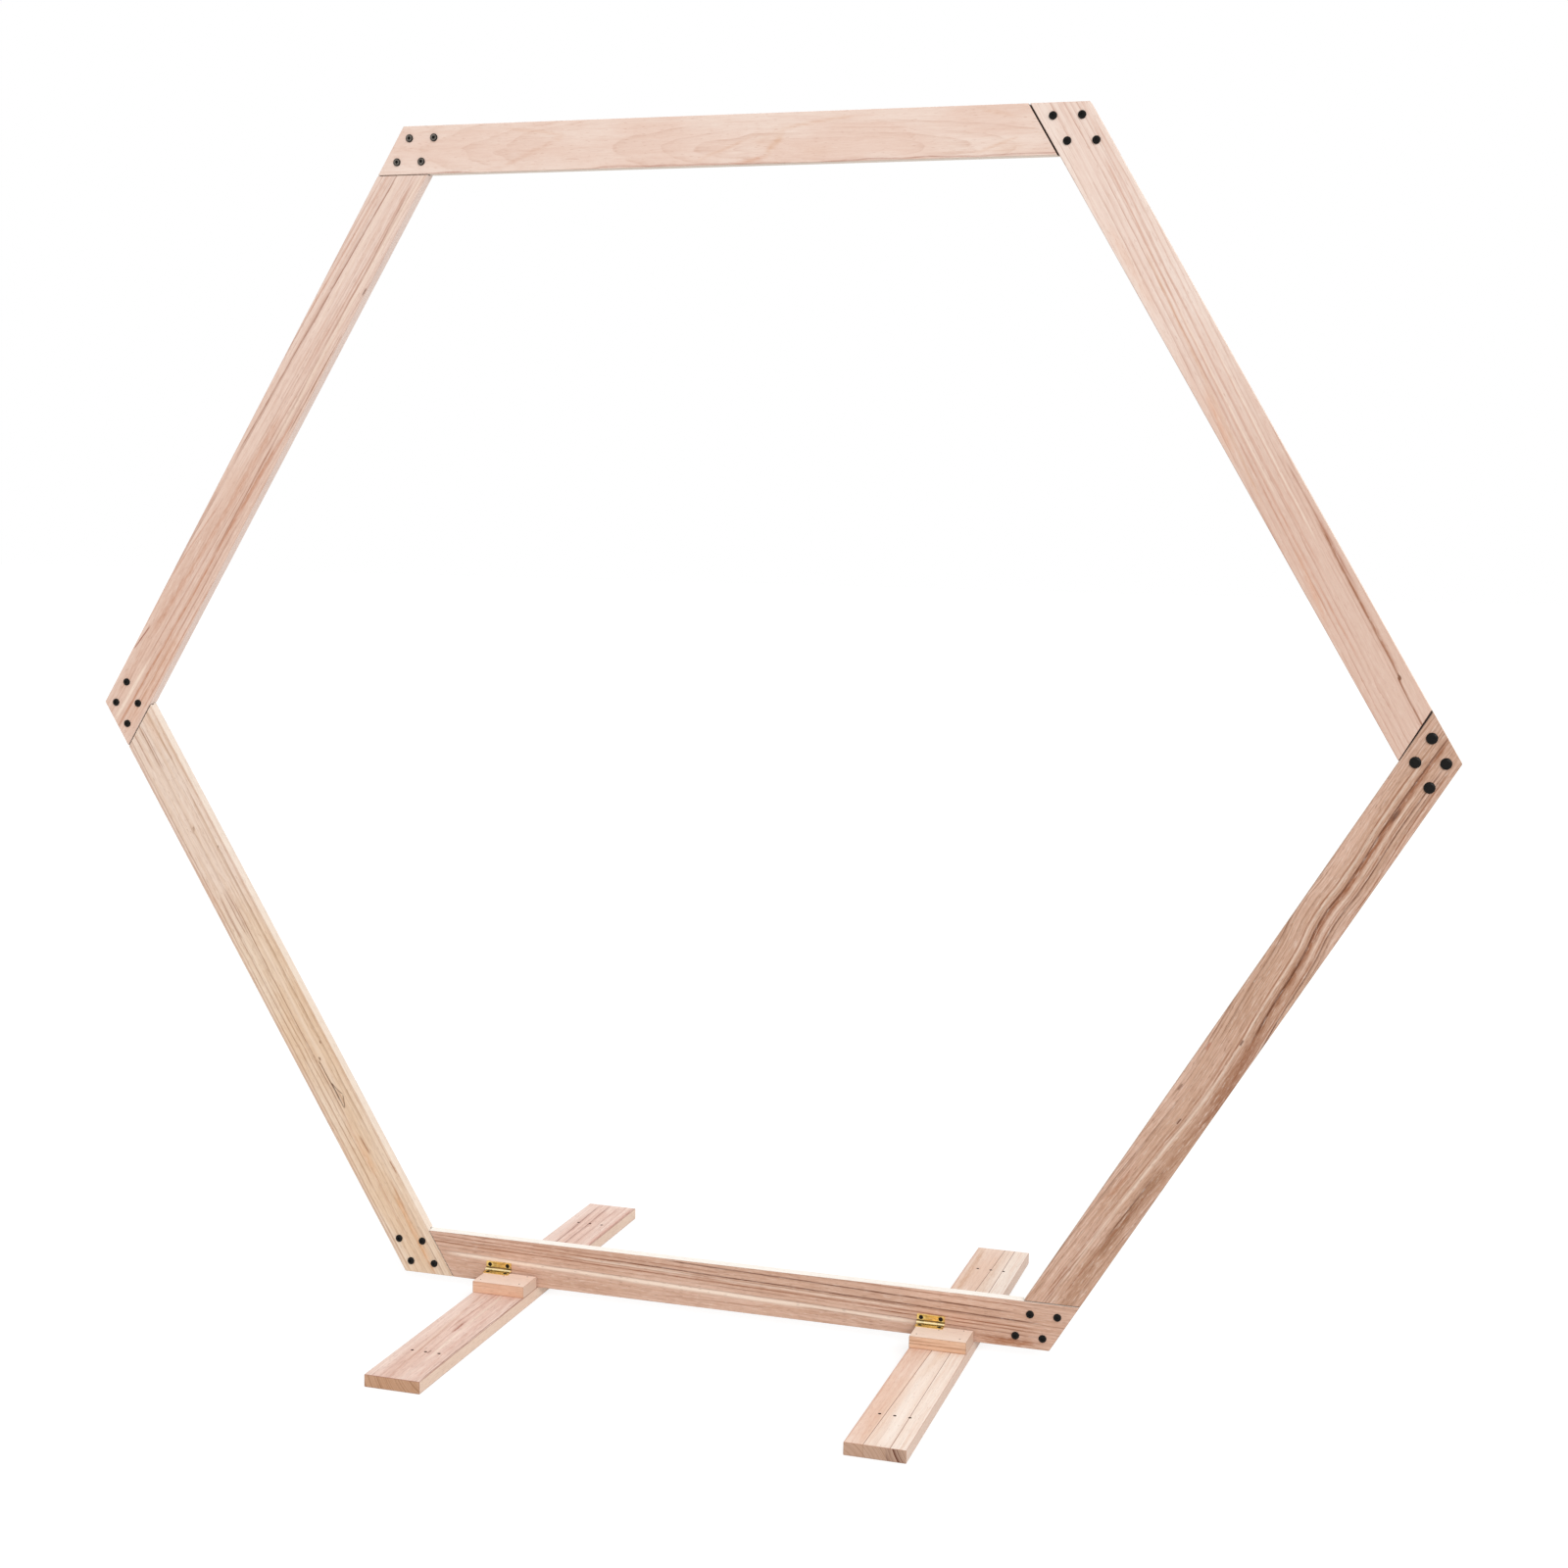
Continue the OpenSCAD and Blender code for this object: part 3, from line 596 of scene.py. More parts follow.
            (40, 300, 33, 35, 0, 1.6, 0.4, TAN), (300, 640, 46, 50, 0, 3.0, 0.4, CREAM),
            (610, 705, 19, 19, 0, 1.0, 0.7, (158, 110, 86), 20), (610, 705, 30, 30, 0, 1.0, 0.65, (158, 110, 86), 20),
            (620, 710, 36, 36, 0, 1.0, 0.7, (158, 110, 86), 20), (660, 740, 8, 8, 0, 6.0, 0.25, (206, 160, 132), 30),
            (930, 1020, 19, 19, 0, 1.2, 0.65, (168, 118, 92), 20), (930, 1020, 34, 34, 0, 1.0, 0.7, (150, 104, 80), 20),
            (925, 1020, 38, 38, 0, 1.0, 0.65, (150, 104, 80), 20), (296, 380, 41, 41, 0, 1.1, 0.85, DARK, 10),
            (100, 1000, 71, 71, 0, 1.3, 0.4, (190, 144, 116)), (940, 1060, 55, 55, 0, 7.0, 0.25, (220, 168, 128)),
            (284, 334, 41.5, 41.5, 0.4, 0.8, 0.95, (84, 56, 38), 6), (284, 308, 42, 51, 0.5, 0.9, 0.9, (96, 64, 44), 4),
            (306, 334, 51.5, 42, -1.4, 0.9, 0.9, (96, 64, 44), 4), (292, 322, 45, 45.5, 0, 2.2, 0.5, (168, 124, 92), 8),
        ],
        "knots": [
            knot(377, 44, 3.4, 1.8, strength=0.85), knot(401, 59, 2.6, 1.4, strength=0.7),
            knot(817, 36, 4.0, 2.2, strength=0.4), knot(770, 62, 2.6, 1.5, strength=0.55),
        ],
    },
    "upper_left_leg": {
        "seed": 6.0, "pale": (232, 204, 188), "warm": (226, 194, 176), "silk_colour": (208, 165, 142),
        # The pale edge tone is painted light: it lifts the inner side, which faces away from the key lamp.
        "edge": (252, 232, 222),
        "line": (160, 110, 88), "silk": 0.45, "flecks": 0.32, "fibre": 0.16, "mottle": 0.2, "drift": 4.0,
        "far": (420, 900, (237, 213, 200), 0.75),
        "flow": [(0, 0), (360, 12), (720, 24), (1080, 38)],
        "rings": [straight(-52.0, 12.0, 8.0, 0.65, seed=13.0, sharp=4.0)],
        "marks": [
            (-40, 560, 42, 42, 1, 1.9, 0.72, (194, 136, 106)), (300, 1020, 42, 24, 0, 1.4, 0.7, (168, 114, 90)),
            (0, 400, 57, 50, 0, 1.1, 0.65, (174, 120, 94)), (0, 300, 67, 62, 0, 1.2, 0.65, (182, 124, 94)),
            (130, 600, 13, 22, 4, 5.0, 0.6, (204, 154, 128)), (0, 400, 12, 10, 0, 7.0, 0.28, (200, 152, 126)),
            (105, 160, -1, 4, 0, 1.1, 0.9, (154, 90, 70), 10), (230, 420, -8, 6, 0, 1.1, 0.65, REDDISH),
            (100, 480, 28, 33, 0, 1.0, 0.6, (178, 124, 100)), (-40, 120, 31, 32, 0, 3.2, 0.75, CREAM),
            (480, 1030, -10, -6, 0, 1.1, 0.72, (158, 108, 86)), (340, 620, 45, 46, 0, 1.5, 0.6, (192, 130, 100)),
            (640, 1040, 24, 22, 0, 1.5, 0.5, (188, 136, 114)), (500, 1040, 29, 30, 0, 1.0, 0.4, (176, 124, 102)),
            (720, 1040, -22, -18, 0, 1.0, 0.5, REDDISH), (540, 760, 50, 47, 0, 1.0, 0.7, BROWN),
            (818, 836, 43, 43, 0, 1.3, 0.85, DARK, 6), (-40, 200, 60, 56, 0, 9.0, 0.34, (212, 158, 124)),
            (520, 1060, 38, 30, 0, 4.0, 0.4, CREAM), (700, 1060, 2, -2, 0, 3.0, 0.3, CREAM),
        ],
    },
    "foot_left": {
        "seed": 7.0, "pale": (238, 211, 197), "warm": (228, 194, 178), "silk_colour": (206, 160, 142),
        "line": (150, 100, 82), "silk": 0.5, "flecks": 0.4, "fibre": 0.18, "mottle": 0.26, "drift": 6.0,
        "edge": (231, 205, 184), "edge_pale": 0.85, "end": (188, 142, 104), "end_cover": 0.8, "arris": 0.6,
        "rings": [straight(-60.0, 20.0, 11.0, 0.45, lean=-0.02, seed=15.0, sharp=4.0, uneven=0.9)],
        "end_rings": [straight(120.0, -34.0, 3.2, 0.8, seed=25.0, sharp=2.0, colour=(136, 90, 54))],
        "marks": [
            (-10, 420, 40, 18, 0, 2.0, 0.5, REDDISH), (200, 420, 36, 44, 0, 1.4, 0.6, (180, 120, 98)),
            (190, 260, 48, 46, 0, 2.4, 0.8, (160, 96, 76), 20), (60, 420, 60, 50, 0, 2.2, 0.5, CREAM),
            (-10, 420, 12, 8, 0, 9.0, 0.5, (244, 222, 210)), (60, 300, 30, 24, 0, 3.0, 0.35, CREAM),
            (520, 890, 30, 22, 0, 1.5, 0.8, (142, 90, 74)), (500, 890, 46, 41, 0, 1.5, 0.8, (150, 96, 78)),
            (460, 890, 10, 8, 0, 9.0, 0.5, (244, 224, 214)), (560, 890, 60, 60, 0, 1.5, 0.55, (170, 116, 96)),
            # The mark at 86.5 across is painted shade: a thin line along the right top edge.
            (-10, 300, 76, 70, 0, 5.0, 0.4, (208, 158, 138)), (-10, 890, 86.5, 86.5, 0, 1.1, 0.7, (140, 92, 72)),
            (104, 120, 50, 50, 0, 1.2, 0.8, DARK, 4), (500, 890, 84, 84, 0, 3.0, 0.5, (200, 134, 112)),
        ],
    },
    "foot_right": {
        "seed": 8.0, "pale": (240, 214, 197), "warm": (234, 200, 178), "silk_colour": (222, 180, 154),
        "line": (172, 122, 96), "silk": 0.4, "flecks": 0.3, "fibre": 0.14, "mottle": 0.16, "drift": 5.0,
        "edge": (214, 187, 170), "edge_pale": 0.8, "end": (186, 150, 126), "end_cover": 0.85, "arris": 0.45,
        "glue": (134, 82, 56),
        "seams": [(28.0, 0.022, (246, 229, 214), 0.55, (0.0, 31.0, 23.0)),
                  (66.0, -0.002, (252, 240, 228), 0.5, (0.0, 17.0, 41.0))],
        "rings": [straight(-50.0, 30.0, 11.0, 0.28, lean=0.012, seed=17.0, sharp=3.0, uneven=0.8)],
        "end_rings": [straight(-28.0, 60.0, 2.1, 0.8, seed=27.0, sharp=2.0, colour=(150, 108, 80), window=(-5, 60)),
                      straight(140.0, -22.0, 5.0, 1.0, seed=28.0, sharp=0.5, colour=(96, 48, 28), window=(60, 95))],
        "marks": [
            (-10, 440, 9, 12, 0, 6.0, 0.36, (222, 174, 148)), (-10, 420, 20, 22, 0, 3.4, 0.4, (216, 168, 142)),
            (-10, 890, 2, 2, 0, 1.4, 0.5, (196, 138, 112)), (560, 890, 16, 10, 0, 5.0, 0.6, (204, 156, 120)),
            (500, 890, 82, 76, 0, 8.0, 0.4, (218, 176, 144)), (-10, 440, 88, 74, 0, 9.0, 0.45, (255, 246, 236)),
            (240, 440, 74, 90, 0, 6.0, 0.3, (226, 186, 150)), (-10, 890, 105, 105, 0, 7.0, 0.4, (255, 244, 232)),
        ],
    },
    "block_left": {
        "seed": 9.0, "pale": (224, 182, 154), "warm": (218, 170, 140), "silk_colour": (206, 156, 126),
        "line": (160, 108, 78), "silk": 0.4, "flecks": 0.4, "fibre": 0.16, "mottle": 0.2, "drift": 2.0,
        "edge": (251, 226, 210), "edge_pale": 0.86, "end": (216, 191, 174), "end_cover": 0.85, "arris": 0.4,
        "rings": [straight(-60.0, 60.0, 5.0, 0.35, seed=19.0, sharp=3.0)],
    },
    "block_right": {
        "seed": 10.0, "pale": (226, 186, 156), "warm": (218, 174, 142), "silk_colour": (200, 152, 118),
        "line": (146, 96, 66), "silk": 0.4, "flecks": 0.4, "fibre": 0.16, "mottle": 0.2, "drift": 1.5,
        "edge": (251, 230, 214), "edge_pale": 0.88, "end": (208, 181, 162), "end_cover": 0.85, "arris": 0.4,
        "rings": [straight(-40.0, 20.0, 3.4, 0.9, seed=21.0, sharp=3.0)],
    },
}


# Metal

def start_metal(name):
    material = bpy.data.materials.new(name)
    material.use_nodes = True
    material.node_tree.nodes.clear()
    b = Bench(material.node_tree)
    at = b.put("ShaderNodeTexCoord").outputs["Object"]
    return material, b, at


def make_black_steel():
    """Black plated bolts and cap nuts, a little browner in places, with a painted grey highlight round the top left
    sockets.
    """
    material, b, at = start_metal("black_steel")
    patch = b.noise(at, scale=420.0, detail=3.0)
    grit = b.noise(at, scale=2600.0, detail=2.0)
    colour = b.blend(b.ease(patch, 0.35, 0.7), paint(4, 4, 3), paint(17, 13, 10))
    painted_highlight_tint = b.blend(b.ease(patch, 0.3, 0.7), paint(84, 79, 74), paint(132, 126, 118))
    # Painted highlight: a grey ring round each socket of the top left corner.
    for place in bolt_places(CORNER_NAMES.index("top_left")):
        x, _, z = b.split(b.vector("SUBTRACT", at, place))
        reach = b.sum("SQRT", b.sum("ADD", b.sum("MULTIPLY", x, x), b.sum("MULTIPLY", z, z)))
        breakup_or_highlight = b.sum("MULTIPLY", b.ease(reach, 2.2 * MM, 2.7 * MM), b.ease(reach, 5.1 * MM, 4.5 * MM))
        colour = b.blend(b.sum("MULTIPLY", breakup_or_highlight, 0.85), colour, painted_highlight_tint)
    bump = b.put("ShaderNodeBump", {"Strength": 0.25, "Distance": 0.0003, "Height": grit}).outputs[0]
    surface = b.put("ShaderNodeBsdfPrincipled", {
        "Base Color": colour, "Roughness": b.ease(patch, 0.3, 0.7, 0.24, 0.42), "Normal": bump,
        "Specular IOR Level": 0.17})
    b.put("ShaderNodeOutputMaterial", {0: surface.outputs[0]})
    return material


def make_brass():
    """Satin brass: a rolled direction along the pin, dull spots, painted shade in the crease where a leaf meets the
    knuckle, and a painted highlight along the knuckle.
    """
    material, b, at = start_metal("brass")
    rolled = b.noise(b.vector("MULTIPLY", at, (60.0, 2400.0, 2400.0)), detail=3.0)
    tarnish = b.noise(at, scale=160.0, detail=4.0, rough=0.6)
    colour = b.blend(b.ease(tarnish, 0.42, 0.75), paint(232, 192, 102), paint(164, 120, 52))
    colour = b.blend(b.ease(rolled, 0.3, 0.7, 0.0, 0.5), colour, paint(252, 234, 176))
    _, y, z = b.split(b.vector("SUBTRACT", at, (0.0, *PIN_AXIS)))
    reach = b.sum("SQRT", b.sum("ADD", b.sum("MULTIPLY", y, y), b.sum("MULTIPLY", z, z)))
    # Painted shade: a dark band on the leaves close round the knuckle, where the crease falls into shade.
    painted_crease_shade = b.sum("MULTIPLY", b.ease(reach, 5.0 * MM, 3.2 * MM), b.ease(reach, 2.52 * MM, 2.6 * MM))
    colour = b.blend(b.sum("MULTIPLY", painted_crease_shade, 0.92), colour, paint(46, 32, 18))
    # Painted highlight: the knuckle itself is paled towards cream.
    colour = b.blend(b.ease(reach, 2.6 * MM, 2.52 * MM, 0.0, 0.6), colour, paint(255, 244, 206))
    # Painted shade: the leaves' rounded edges are darkened into outlines, as where a leaf stands in shade against the
    # wood.
    arris = b.put("ShaderNodeAttribute", attribute_name="arris").outputs["Fac"]
    colour = b.blend(b.sum("MULTIPLY", arris, 0.6), colour, paint(104, 74, 32))
    bump = b.put("ShaderNodeBump", {"Strength": 0.15, "Distance": 0.0002, "Height": rolled}).outputs[0]
    surface = b.put("ShaderNodeBsdfPrincipled", {
        "Base Color": colour, "Metallic": 1.0, "Roughness": b.ease(tarnish, 0.3, 0.75, 0.24, 0.46), "Normal": bump})
    b.put("ShaderNodeOutputMaterial", {0: surface.outputs[0]})
    return material


def make_dark_screw():
    """Dark bronze finish of the hinge screws and brads, rubbed a little brighter in places."""
    material, b, at = start_metal("dark_screw")
    rub = b.noise(at, scale=700.0, detail=3.0)
    colour = b.blend(b.ease(rub, 0.5, 0.8), paint(20, 16, 13), paint(74, 56, 38))
    surface = b.put("ShaderNodeBsdfPrincipled", {
        "Base Color": colour, "Metallic": 0.4, "Roughness": b.ease(rub, 0.3, 0.7, 0.34, 0.5),
        "Specular IOR Level": 0.3})
    b.put("ShaderNodeOutputMaterial", {0: surface.outputs[0]})
    return material


BLACK_STEEL = make_black_steel()
BRASS = make_brass()
DARK_SCREW = make_dark_screw()


# Pieces from the CAD solids

def rounded_copy(node, name, radius, shortest, segments=2, smooth=0.0, dark_cut=None):
    """A copy of a CAD piece with its arrises rounded. Those faces are marked, and so are the faces that dark_cut picks
    for painted shade.
    """
    shape = bmesh.new()
    shape.from_mesh(frame["nodes"][node].data)
    bmesh.ops.remove_doubles(shape, verts=shape.verts, dist=2e-6)
    bmesh.ops.dissolve_limit(shape, angle_limit=math.radians(0.6), verts=shape.verts, edges=shape.edges)
    mark = shape.faces.layers.float.new("arris")
    painted_shade_layer = shape.faces.layers.float.new("dark_cut")
    for face in shape.faces:
        face[painted_shade_layer] = 1.0 if dark_cut and dark_cut(face) else 0.0
    edges = [e for e in shape.edges if len(e.link_faces) == 2 and e.is_convex
             and e.calc_face_angle() > math.radians(28) and e.calc_length() > shortest]
    cut = bmesh.ops.bevel(shape, geom=edges, offset=radius, segments=segments, profile=0.5, affect="EDGES",
                          clamp_overlap=True)
    for face in cut["faces"]:
        face[mark] = 1.0
    bmesh.ops.triangulate(shape, faces=[f for f in shape.faces if len(f.verts) > 4])
    mesh = bpy.data.meshes.new(name)
    shape.to_mesh(mesh)
    shape.free()
    if smooth:
        mesh.shade_smooth()
        mesh.set_sharp_from_angle(angle=math.radians(smooth))
    mesh.materials.clear()
    piece = bpy.data.objects.new(name, mesh)
    bpy.context.scene.collection.objects.link(piece)
    return piece


def stand_for(piece, body, nodes):
    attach(piece, body)
    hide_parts(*nodes)


def body_of(node):
    return next(body for body, nodes in frame["record"]["behaviour"]["bodies"].items() if node in nodes)


def is_lap_cut(face, place):
    """A shoulder or cheek of a half lap. It shows only through the joint's gap, and it is painted dark there as the
    gap's shade.
    """
    origin, along, across, depth = place
    if abs(face.normal.dot(depth)) > 0.9:
        return abs(face.calc_center_median().y) < 1 * MM
    run = (face.calc_center_median() - origin).dot(along)
    square_on = abs(face.normal.dot(along)) > 0.6 and abs(face.normal.dot(depth)) < 0.1
    return square_on and min(run, BOARD_LENGTH * MM - run) > 30 * MM


def is_peg_hole(face, place):
    """The wall of a hole drilled through a foot, painted dark as the shade down the hole, with some scorch from the
    drill.
    """
    origin, along, across, depth = place
    spot = face.calc_center_median() - origin
    inside = 5 * MM < spot.dot(across) < 84 * MM and 5 * MM < spot.dot(along) < 875 * MM
    return inside and abs(face.normal.dot(depth)) < 0.3


def make_wood():
    places = {name: (board_frame(k), is_lap_cut) for k, name in enumerate(BOARDS)}
    for side in ("left", "right"):
        places["foot_" + side] = (foot_frame(side), is_peg_hole)
        places["block_" + side] = (block_frame(side), None)
    for name, (place, picker) in places.items():
        dark_cut = (lambda face: picker(face, place)) if picker else None
        piece = rounded_copy(name, name + "_timber", 0.9 * MM, 3.5 * MM, dark_cut=dark_cut)
        piece.data.materials.append(timber(name + "_wood", place, WOODS[name]))
        stand_for(piece, body_of(name), [name])


def make_hinges():
    for side in ("left", "right"):
        for node in ("rail_leaf_", "block_leaf_", "hinge_pin_"):
            piece = rounded_copy(node + side, node + side + "_brass", 0.15 * MM, 0.9 * MM, smooth=24)
            piece.data.materials.append(BRASS)
            stand_for(piece, body_of(node + side), [node + side])


# Fasteners

class Lathe:
    """A Geometry Nodes tree that turns one fastener from its sizes and sets it at every given point."""

    def __init__(self, name, sizes):
        self.tree = bpy.data.node_groups.new(name, "GeometryNodeTree")
        face = self.tree.interface
        face.new_socket("Geometry", in_out="INPUT", socket_type="NodeSocketGeometry")
        self.keys = {}
        for label, value in sizes.items():
            socket = face.new_socket(label, in_out="INPUT", socket_type="NodeSocketFloat")
            socket.default_value = value * MM
            self.keys[label] = socket.identifier
        seed = face.new_socket("Turn seed", in_out="INPUT", socket_type="NodeSocketInt")
        seed.default_value = 1
        self.keys["Turn seed"] = seed.identifier
        coat = face.new_socket("Finish", in_out="INPUT", socket_type="NodeSocketMaterial")
        self.keys["Finish"] = coat.identifier
        face.new_socket("Geometry", in_out="OUTPUT", socket_type="NodeSocketGeometry")
        self.b = Bench(self.tree)
        self.given = self.b.put("NodeGroupInput").outputs

    def turned(self, profile, sides=40):
        """The closed solid turned from (radius, height) points, from the top of its axis to the bottom."""
        b = self.b
        count = len(profile)
        points = b.put("GeometryNodePoints", {"Count": count})
        chosen = b.put("GeometryNodeIndexSwitch", data_type="VECTOR")
        while len(chosen.index_switch_items) < count:
            chosen.index_switch_items.new()
        b.feed(chosen.inputs["Index"], b.put("GeometryNodeInputIndex").outputs[0])
        for k, (radius, height) in enumerate(profile):
            b.feed(chosen.inputs[k + 1], b.join(radius, b.sum("MULTIPLY", height, -1.0), 0.0))
        placed = b.put("GeometryNodeSetPosition", {"Geometry": points.outputs[0], "Position": chosen.outputs[0]})
        line = b.put("GeometryNodePointsToCurves", {"Points": placed.outputs[0]})
        circle = b.put("GeometryNodeCurvePrimitiveCircle", {"Resolution": sides, "Radius": 0.01 * MM})
        swept = b.put("GeometryNodeCurveToMesh", {"Curve": circle.outputs[0], "Profile Curve": line.outputs[0]})
        return b.put("GeometryNodeMergeByDistance", {"Geometry": swept.outputs[0], "Distance": 0.05 * MM}).outputs[0]

    def cut(self, solid, *tools):
        b = self.b
        node = b.put("GeometryNodeMeshBoolean", operation="DIFFERENCE")
        b.feed(node.inputs["Mesh 1"], solid)
        for tool in tools:
            b.feed(node.inputs["Mesh 2"], tool)
        return node.outputs[0]

    def set_out(self, solid):
        """Places the solid at each point, its top towards the point's facing, turned at random."""
        b = self.b
        facing = b.put("GeometryNodeInputNamedAttribute", {"Name": "facing"}, data_type="FLOAT_VECTOR").outputs[0]
        aim = b.put("FunctionNodeAlignRotationToVector", {"Vector": facing}, axis="Z").outputs[0]
        placed = b.put("GeometryNodeInstanceOnPoints", {"Points": self.given["Geometry"], "Instance": solid,
                                                        "Rotation": aim}).outputs[0]
        spin = b.put("FunctionNodeRandomValue", {"Seed": self.given["Turn seed"]}, data_type="FLOAT")
        b.feed(spin.inputs[3], 2 * math.pi)
        turn = b.join(0.0, 0.0, spin.outputs[1])
        spun = b.put("GeometryNodeRotateInstances", {"Instances": placed, "Rotation": turn, "Local Space": True})
        solid = b.put("GeometryNodeRealizeInstances", {"Geometry": spun.outputs[0]}).outputs[0]
        coated = b.put("GeometryNodeSetMaterial", {"Geometry": solid, "Material": self.given["Finish"]})
        b.put("NodeGroupOutput", {0: coated.outputs[0]})


def make(lathe, name, places, sizes, finish, seed, smooth=28):
    """Bakes one mesh of a fastener at its places. places holds (point, facing) pairs."""
    mesh = bpy.data.meshes.new(name + "_places")
    mesh.from_pydata([p for p, _ in places], [], [])
    facing = mesh.attributes.new("facing", "FLOAT_VECTOR", "POINT")
    for k, (_, way) in enumerate(places):
        facing.data[k].vector = way
    piece = bpy.data.objects.new(name, mesh)
    bpy.context.scene.collection.objects.link(piece)
    tool = piece.modifiers.new(name, "NODES")
    tool.node_group = lathe.tree
    for label, value in sizes.items():
        tool[lathe.keys[label]] = value * MM
    tool[lathe.keys["Turn seed"]] = seed
    tool[lathe.keys["Finish"]] = finish
    depsgraph = bpy.context.evaluated_depsgraph_get()
    baked = bpy.data.meshes.new_from_object(piece.evaluated_get(depsgraph))
    baked.name = name
    piece.modifiers.clear()
    piece.data = baked
    shape = bmesh.new()
    shape.from_mesh(baked)
    bmesh.ops.recalc_face_normals(shape, faces=shape.faces)
    shape.to_mesh(baked)
    shape.free()
    baked.shade_smooth()
    baked.set_sharp_from_angle(angle=math.radians(smooth))
    return piece


def make_bolt_lathe():
    """A low round head with a chamfer, a hexagon socket and a plain shank."""
    lathe = Lathe("socket_bolt", {"Head diameter": 12, "Head height": 2.2, "Chamfer": 0.9, "Socket width": 4,
                                  "Socket depth": 1.5, "Shank diameter": 5.8, "Shank length": 16})
    b, g = lathe.b, lathe.given
    rim = b.sum("MULTIPLY", g["Head diameter"], 0.5)
    stem = b.sum("MULTIPLY", g["Shank diameter"], 0.5)
    foot = b.sum("MULTIPLY", g["Shank length"], -1.0)
    top, edge = g["Head height"], g["Chamfer"]
    soft = b.sum("MULTIPLY", edge, 0.3)
    profile = [
        (0.0, top), (b.sum("SUBTRACT", rim, b.sum("ADD", edge, soft)), top),
        (b.sum("SUBTRACT", rim, b.sum("MULTIPLY", edge, 0.85)), b.sum("SUBTRACT", top, b.sum("MULTIPLY", edge, 0.08))),
        (b.sum("SUBTRACT", rim, b.sum("MULTIPLY", edge, 0.12)), b.sum("SUBTRACT", top, b.sum("MULTIPLY", edge, 0.8))),
        (rim, b.sum("SUBTRACT", top, b.sum("ADD", edge, soft))), (rim, 0.0), (stem, 0.0), (stem, foot), (0.0, foot),
    ]
    solid = lathe.turned(profile)
    across = b.sum("DIVIDE", g["Socket width"], math.sqrt(3))
    prism = b.put("GeometryNodeMeshCylinder", {"Vertices": 6, "Radius": across,
                                               "Depth": b.sum("MULTIPLY", g["Socket depth"], 2.0)}).outputs[0]
    tool = b.put("GeometryNodeTransform", {"Geometry": prism, "Translation": b.join(0.0, 0.0, top)}).outputs[0]
    lathe.set_out(lathe.cut(solid, tool))
    return lathe


def make_cap_lathe():
    """A cap nut: a low dome with a straight rim and a sleeve."""
    lathe = Lathe("cap_nut", {"Cap diameter": 16.5, "Cap height": 3.2, "Rim height": 1.1, "Flat diameter": 7.4,
                              "Sleeve diameter": 7.8, "Sleeve length": 13})
    b, g = lathe.b, lathe.given
    rim = b.sum("MULTIPLY", g["Cap diameter"], 0.5)
    flat = b.sum("MULTIPLY", g["Flat diameter"], 0.5)
    stem = b.sum("MULTIPLY", g["Sleeve diameter"], 0.5)
    foot = b.sum("MULTIPLY", g["Sleeve length"], -1.0)
    wide, rise = b.sum("SUBTRACT", rim, flat), b.sum("SUBTRACT", g["Cap height"], g["Rim height"])
    profile = [(0.0, g["Cap height"])]
    for step in range(7):
        angle = math.radians(15 * step)
        profile.append((b.sum("ADD", flat, b.sum("MULTIPLY", wide, math.sin(angle))),
                        b.sum("ADD", g["Rim height"], b.sum("MULTIPLY", rise, math.cos(angle)))))
    profile += [(rim, 0.0), (stem, 0.0), (stem, foot), (0.0, foot)]
    lathe.set_out(lathe.turned(profile))
    return lathe


def make_screw_lathe():
    """A countersunk screw with a crossed recess."""
    lathe = Lathe("cross_screw", {"Head diameter": 6.8, "Head depth": 1.9, "Rise": 0.25, "Shank diameter": 3.0,
                                  "Length": 13, "Cross length": 3.8, "Cross width": 0.8, "Cross depth": 0.6})
    b, g = lathe.b, lathe.given
    rim = b.sum("MULTIPLY", g["Head diameter"], 0.5)
    stem = b.sum("MULTIPLY", g["Shank diameter"], 0.5)
    under = b.sum("MULTIPLY", g["Head depth"], -1.0)
    foot = b.sum("MULTIPLY", g["Length"], -1.0)
    profile = [
        (0.0, g["Rise"]), (b.sum("MULTIPLY", rim, 0.5), b.sum("MULTIPLY", g["Rise"], 0.75)), (rim, 0.0),
        (stem, under), (stem, b.sum("MULTIPLY", foot, 0.8)), (0.0, foot),
    ]
    solid = lathe.turned(profile, 32)
    height = b.sum("MULTIPLY", g["Cross depth"], 2.0)
    long_bar = b.put("GeometryNodeMeshCube", {"Size": b.join(g["Cross length"], g["Cross width"], height)}).outputs[0]
    wide_bar = b.put("GeometryNodeMeshCube", {"Size": b.join(g["Cross width"], g["Cross length"], height)}).outputs[0]
    lathe.set_out(lathe.cut(lathe.cut(solid, long_bar), wide_bar))
    return lathe


def make_brad_lathe():
    """The small round head of a brad, set a little into the wood."""
    lathe = Lathe("brad", {"Head diameter": 2.2, "Head height": 0.25, "Length": 12})
    b, g = lathe.b, lathe.given
    rim = b.sum("MULTIPLY", g["Head diameter"], 0.5)
    stem = b.sum("MULTIPLY", rim, 0.6)
    foot = b.sum("MULTIPLY", g["Length"], -1.0)
    profile = [(0.0, g["Head height"]), (b.sum("MULTIPLY", rim, 0.7), b.sum("MULTIPLY", g["Head height"], 0.7)),
               (rim, 0.0), (rim, b.sum("MULTIPLY", g["Head height"], -1.5)),
               (stem, b.sum("MULTIPLY", g["Head height"], -1.5)), (stem, foot), (0.0, foot)]
    lathe.set_out(lathe.turned(profile, 16))
    return lathe


